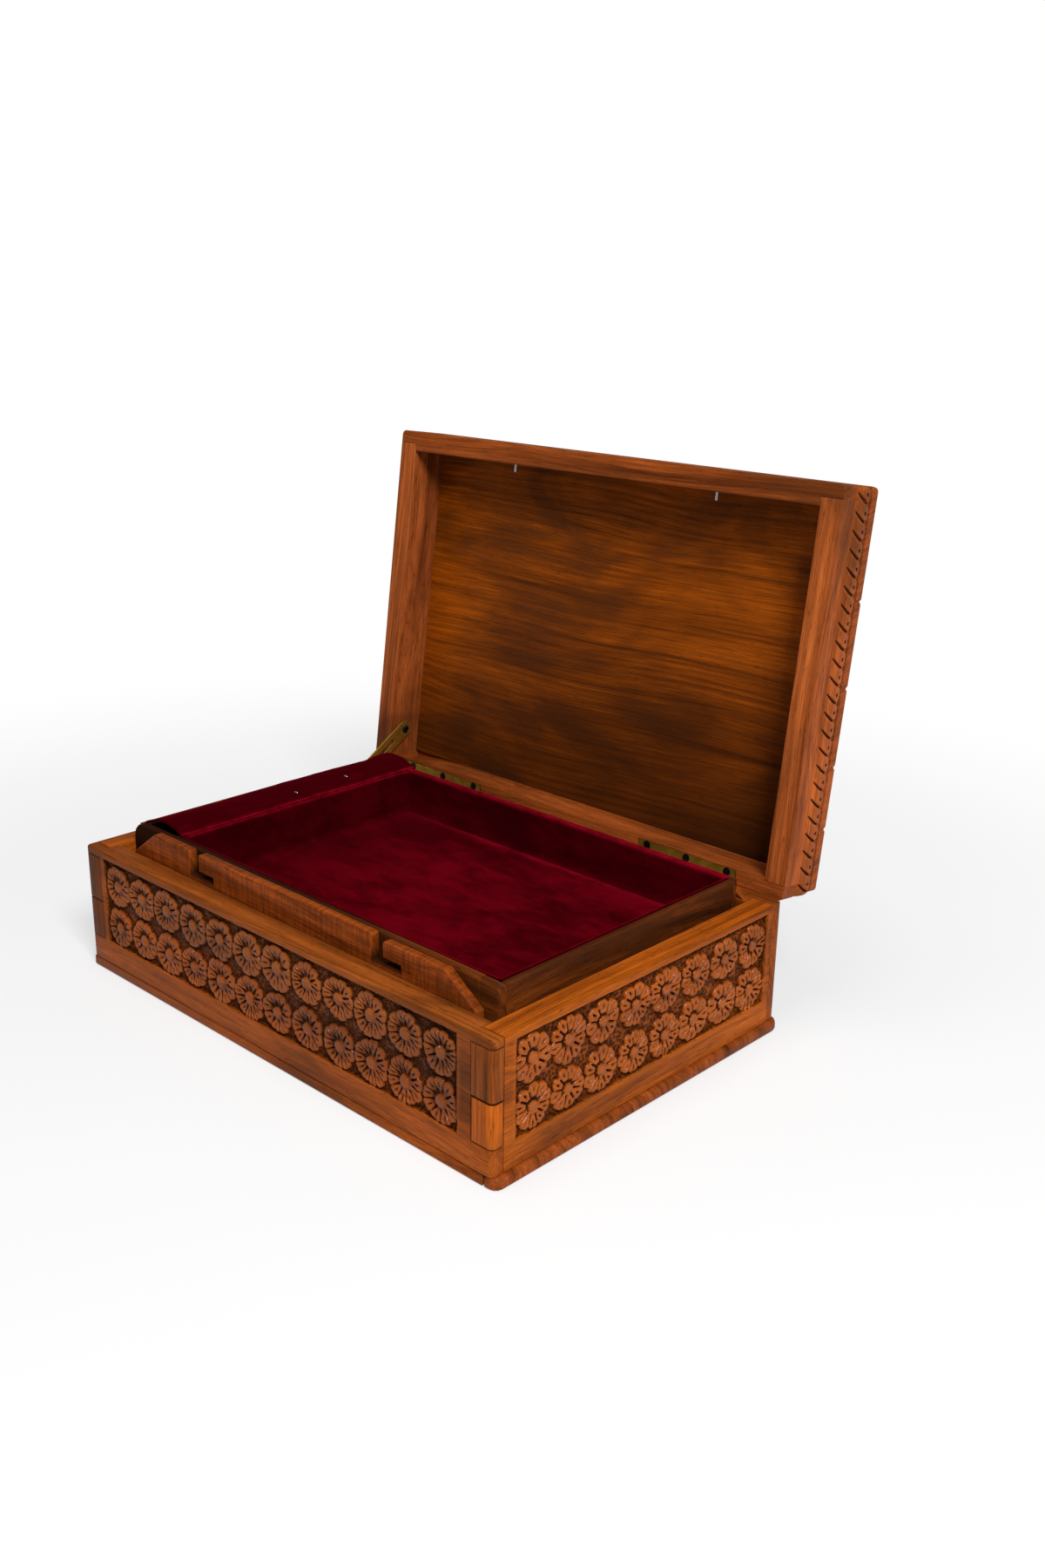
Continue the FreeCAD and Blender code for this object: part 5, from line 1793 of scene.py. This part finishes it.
@dataclass
class Hardware:
    """Hinges, stay, screws, lock pins, tacks and sunk nails."""

    screw_inset: float = 5.5
    screw_y: float = 197.8
    screw_sunk: float = 0.05
    head_start: float = 14.9
    pivot: Pair = (179.558, 79.950)
    slot_pin: Pair = (177.675, 68.194)
    lock_pins: Pair = (91.8, 230.8)
    pin_tip: float = 15.2
    pin_height: float = 73.5
    tack_width: float = 1.4
    tacks: tuple[Triple, ...] = ((44.7, 106.6, 84.5), (42.9, 144.1, 84.8))
    case_nails: tuple[Triple, ...] = ((285.0, 23.9, 80.8), (294.0, 5.0, 5.8), (9.0, 6.5, 69.55),
                                      (8.0, 197.0, 69.55))
    lid_nails: tuple[Triple, ...] = ((11.8, 8.0, 70.75), (293.2, 8.0, 70.75), (300.0, 196.0, 70.75))

    def build(self, metals: dict[Metal, bpy.types.Material]) -> None:
        """Dress the brass nodes and build the pins, screws, tacks and nails."""
        for side in ("left", "right"):
            for part in ("case_leaf", "lid_leaf", "pin"):
                self._dress("hinge_%s_%s" % (side, part), metals[Metal.BRASS])
        self._dress("stay_arm", metals[Metal.BRASS])
        self._lock_pins(metals[Metal.BRIGHT])
        self._hinge_screws(metals[Metal.STEEL])
        self._stay_screws(metals[Metal.STEEL])
        self._tacks(metals[Metal.BRIGHT])
        self._nails(metals[Metal.STEEL])

    def _dress(self, node: str, finish: bpy.types.Material) -> None:
        """Give a node its finish."""
        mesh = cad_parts[node].data
        mesh.materials.clear()
        mesh.materials.append(finish)

    def _lock_pins(self, steel: bpy.types.Material) -> None:
        """Two headless nails in the lid's front rail: thin rods with rounded tips."""
        shape = SlottedScrew(head=0.8, dome=0.5, shank=0.8, length=9.4, sides=16)
        pins = [shape.shell((x, self.pin_tip, self.pin_height), 1, 1.0, 0.0) for x in self.lock_pins]
        Piece("lock_nails", ("lock_pins",), Body.LID, "steel", pins).build(steel)

    def _hinge_screws(self, steel: bpy.types.Material) -> None:
        """Three screws in every leaf, with slots turned at random."""
        rng = np.random.default_rng(8)
        run = (BOX.hinge_length - 2 * self.screw_inset) / 2
        firsts = [start + self.screw_inset for start in BOX.hinge_starts]
        across = [first + number * run for first in firsts for number in range(3)]
        places = (("case", Body.CASE, BOX.rim - self.screw_sunk, 1.0, 0.08),
                  ("lid", Body.LID, BOX.lid_low + self.screw_sunk, -1.0, 0.22))
        for name, body, height, way, dome in places:
            shape = SlottedScrew(head=2.3, dome=dome, shank=1.1, length=8.5)
            screws = [shape.shell((x, self.screw_y, height), 2, way, rng.uniform(0, 3)) for x in across]
            Piece("screws_" + name, ("hinge_%s_screws" % name,), body, "steel", screws).build(steel)

    def _stay_screws(self, steel: bpy.types.Material) -> None:
        """Pivot screw of the stay in the lid and its slot pin in the case."""
        shape = SlottedScrew(head=2.3, dome=1.4, shank=1.2, length=9.4)
        places = (("stay_pivot", "stay_pivot_screw", Body.LID, self.pivot, 1.1),
                  ("stay_pin", "stay_slot_pin", Body.CASE, self.slot_pin, 0.4))
        for name, node, body, (y, z), turn in places:
            screw = shape.shell((self.head_start, y, z), 0, 1.0, turn)
            Piece(name, (node,), body, "steel", [screw]).build(steel)

    def _tacks(self, steel: bpy.types.Material) -> None:
        """Small tacks in the velvet ledge, with heads drawn out to the sides."""
        shape = SlottedScrew(head=0.6, dome=0.7, shank=0.3, length=1.4, sides=12)
        tacks = [shape.shell(place, 2, 1.0, 0.3) for place in self.tacks]
        for tack, place in zip(tacks, self.tacks):
            tack.rings[..., 0] += self.tack_width * (tack.rings[..., 0] - place[0])
        Piece("velvet_tacks", (), Body.CASE, "steel", tacks).build(steel)

    def _nails(self, steel: bpy.types.Material) -> None:
        """Heads of the nails that are sunk in the rims."""
        shape = SlottedScrew(head=0.75, dome=0.5, shank=0.3, length=1.4, sides=12)
        for body, way, places in ((Body.CASE, 1.0, self.case_nails), (Body.LID, -1.0, self.lid_nails)):
            nails = [shape.shell(place, 2, way, 0.8) for place in places]
            Piece("sunk_nails_" + body.value, (), body, "steel", nails).build(steel)


# Studio


@dataclass
class Studio:
    """Pale floor, soft light and the camera at the photograph's place.

    Aim is the height that the lamps look at, and sky the strength of the light from all round.
    """

    place: Triple = (0.529728, -0.486793, 0.365951)
    turn: Triple = (1.2388, -0.0153, 0.7613)
    lens: float = 34.684
    floor: float = 6.0
    aim: float = 0.08
    sky: float = 0.18

    def build(self) -> None:
        """Make the floor, the lights, the sky and the camera."""
        self._floor()
        self._lamp("key", (1.15, -0.60, 1.35), size=0.5, power=31.5)
        self._lamp("top", (0.0, -0.25, 1.8), size=0.8, power=9.2)
        self._sky()
        lens = bpy.data.cameras.new("camera")
        lens.lens = self.lens
        lens.sensor_width = 36.0
        lens.clip_start = 0.01
        camera = bpy.data.objects.new("camera", lens)
        camera.location = self.place
        camera.rotation_euler = self.turn
        bpy.context.scene.collection.objects.link(camera)
        bpy.context.scene.camera = camera
        bpy.context.scene.view_settings.view_transform = "Standard"

    def _floor(self) -> None:
        """White floor: it takes the box's shadow nearby and fades to plain white far off."""
        cloth, sketch, shader = new_material("pale_floor")
        sketch.feed(shader, {"Base Color": (0.80, 0.80, 0.80, 1), "Roughness": 0.9,
                             "Specular IOR Level": 0.1})
        white = sketch.node("Emission", {"Color": (1, 1, 1, 1), "Strength": 1.0}).outputs[0]
        away = sketch.node("VectorMath", {0: sketch.place()}, operation="LENGTH").outputs["Value"]
        path = sketch.node("LightPath", {}).outputs
        seen = sketch.plus(path["Is Camera Ray"], path["Is Glossy Ray"], clamp=True)
        seen = sketch.plus(seen, path["Is Transmission Ray"], clamp=True)
        share = sketch.times(sketch.span(away, 0.22, 0.7, 0.52, 1.0), seen)
        blend = sketch.node("MixShader", {0: share, 1: shader.outputs[0], 2: white}).outputs[0]
        sketch.feed(cloth.node_tree.nodes["Material Output"], {"Surface": blend})
        mesh = bpy.data.meshes.new("floor")
        corners = rectangle((-self.floor, -self.floor), (self.floor, self.floor))
        mesh.from_pydata([(x, y, 0) for x, y in corners], [], [(0, 1, 2, 3)])
        mesh.materials.append(cloth)
        floor = bpy.data.objects.new("floor", mesh)
        bpy.context.scene.collection.objects.link(floor)

    def _lamp(self, name: str, place: Triple, size: float, power: float) -> None:
        """Add a square soft lamp that looks at the box."""
        lamp = bpy.data.lights.new(name, "AREA")
        lamp.size = size
        lamp.energy = power
        made = bpy.data.objects.new(name, lamp)
        made.location = place
        away = made.location.copy()
        away.z -= self.aim
        made.rotation_euler = away.to_track_quat("Z", "Y").to_euler()
        bpy.context.scene.collection.objects.link(made)

    def _sky(self) -> None:
        """Even white light from all round, seen as plain white."""
        world = bpy.data.worlds.new("studio")
        world.use_nodes = True
        bpy.context.scene.world = world
        sketch = NodeSketch(world.node_tree)
        path = sketch.node("LightPath", {}).outputs
        seen = sketch.plus(path["Is Camera Ray"], path["Is Transmission Ray"], clamp=True)
        power = sketch.span(seen, 0.0, 1.0, self.sky, 1.0)
        sketch.feed(world.node_tree.nodes["Background"], {"Color": (1, 1, 1, 1), "Strength": power})


def main() -> None:
    """Build the pieces in order."""
    logging.basicConfig(level=logging.INFO, format="%(name)s: %(message)s")
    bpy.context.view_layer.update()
    figure = walnut_figure()
    tones = {tone: tone.value.material(figure) for tone in WoodTone}
    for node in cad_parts.values():
        node.data.materials.clear()
        node.data.materials.append(tones[WoodTone.PLAIN])
    for part in (Case(), HiddenLock(), Lid(), Tray()):
        part.build(tones)
    Lining().build(VelvetFinish().material())
    Hardware().build({metal: metal.value.material() for metal in Metal})
    Studio().build()


if __name__ == "__main__":
    main()
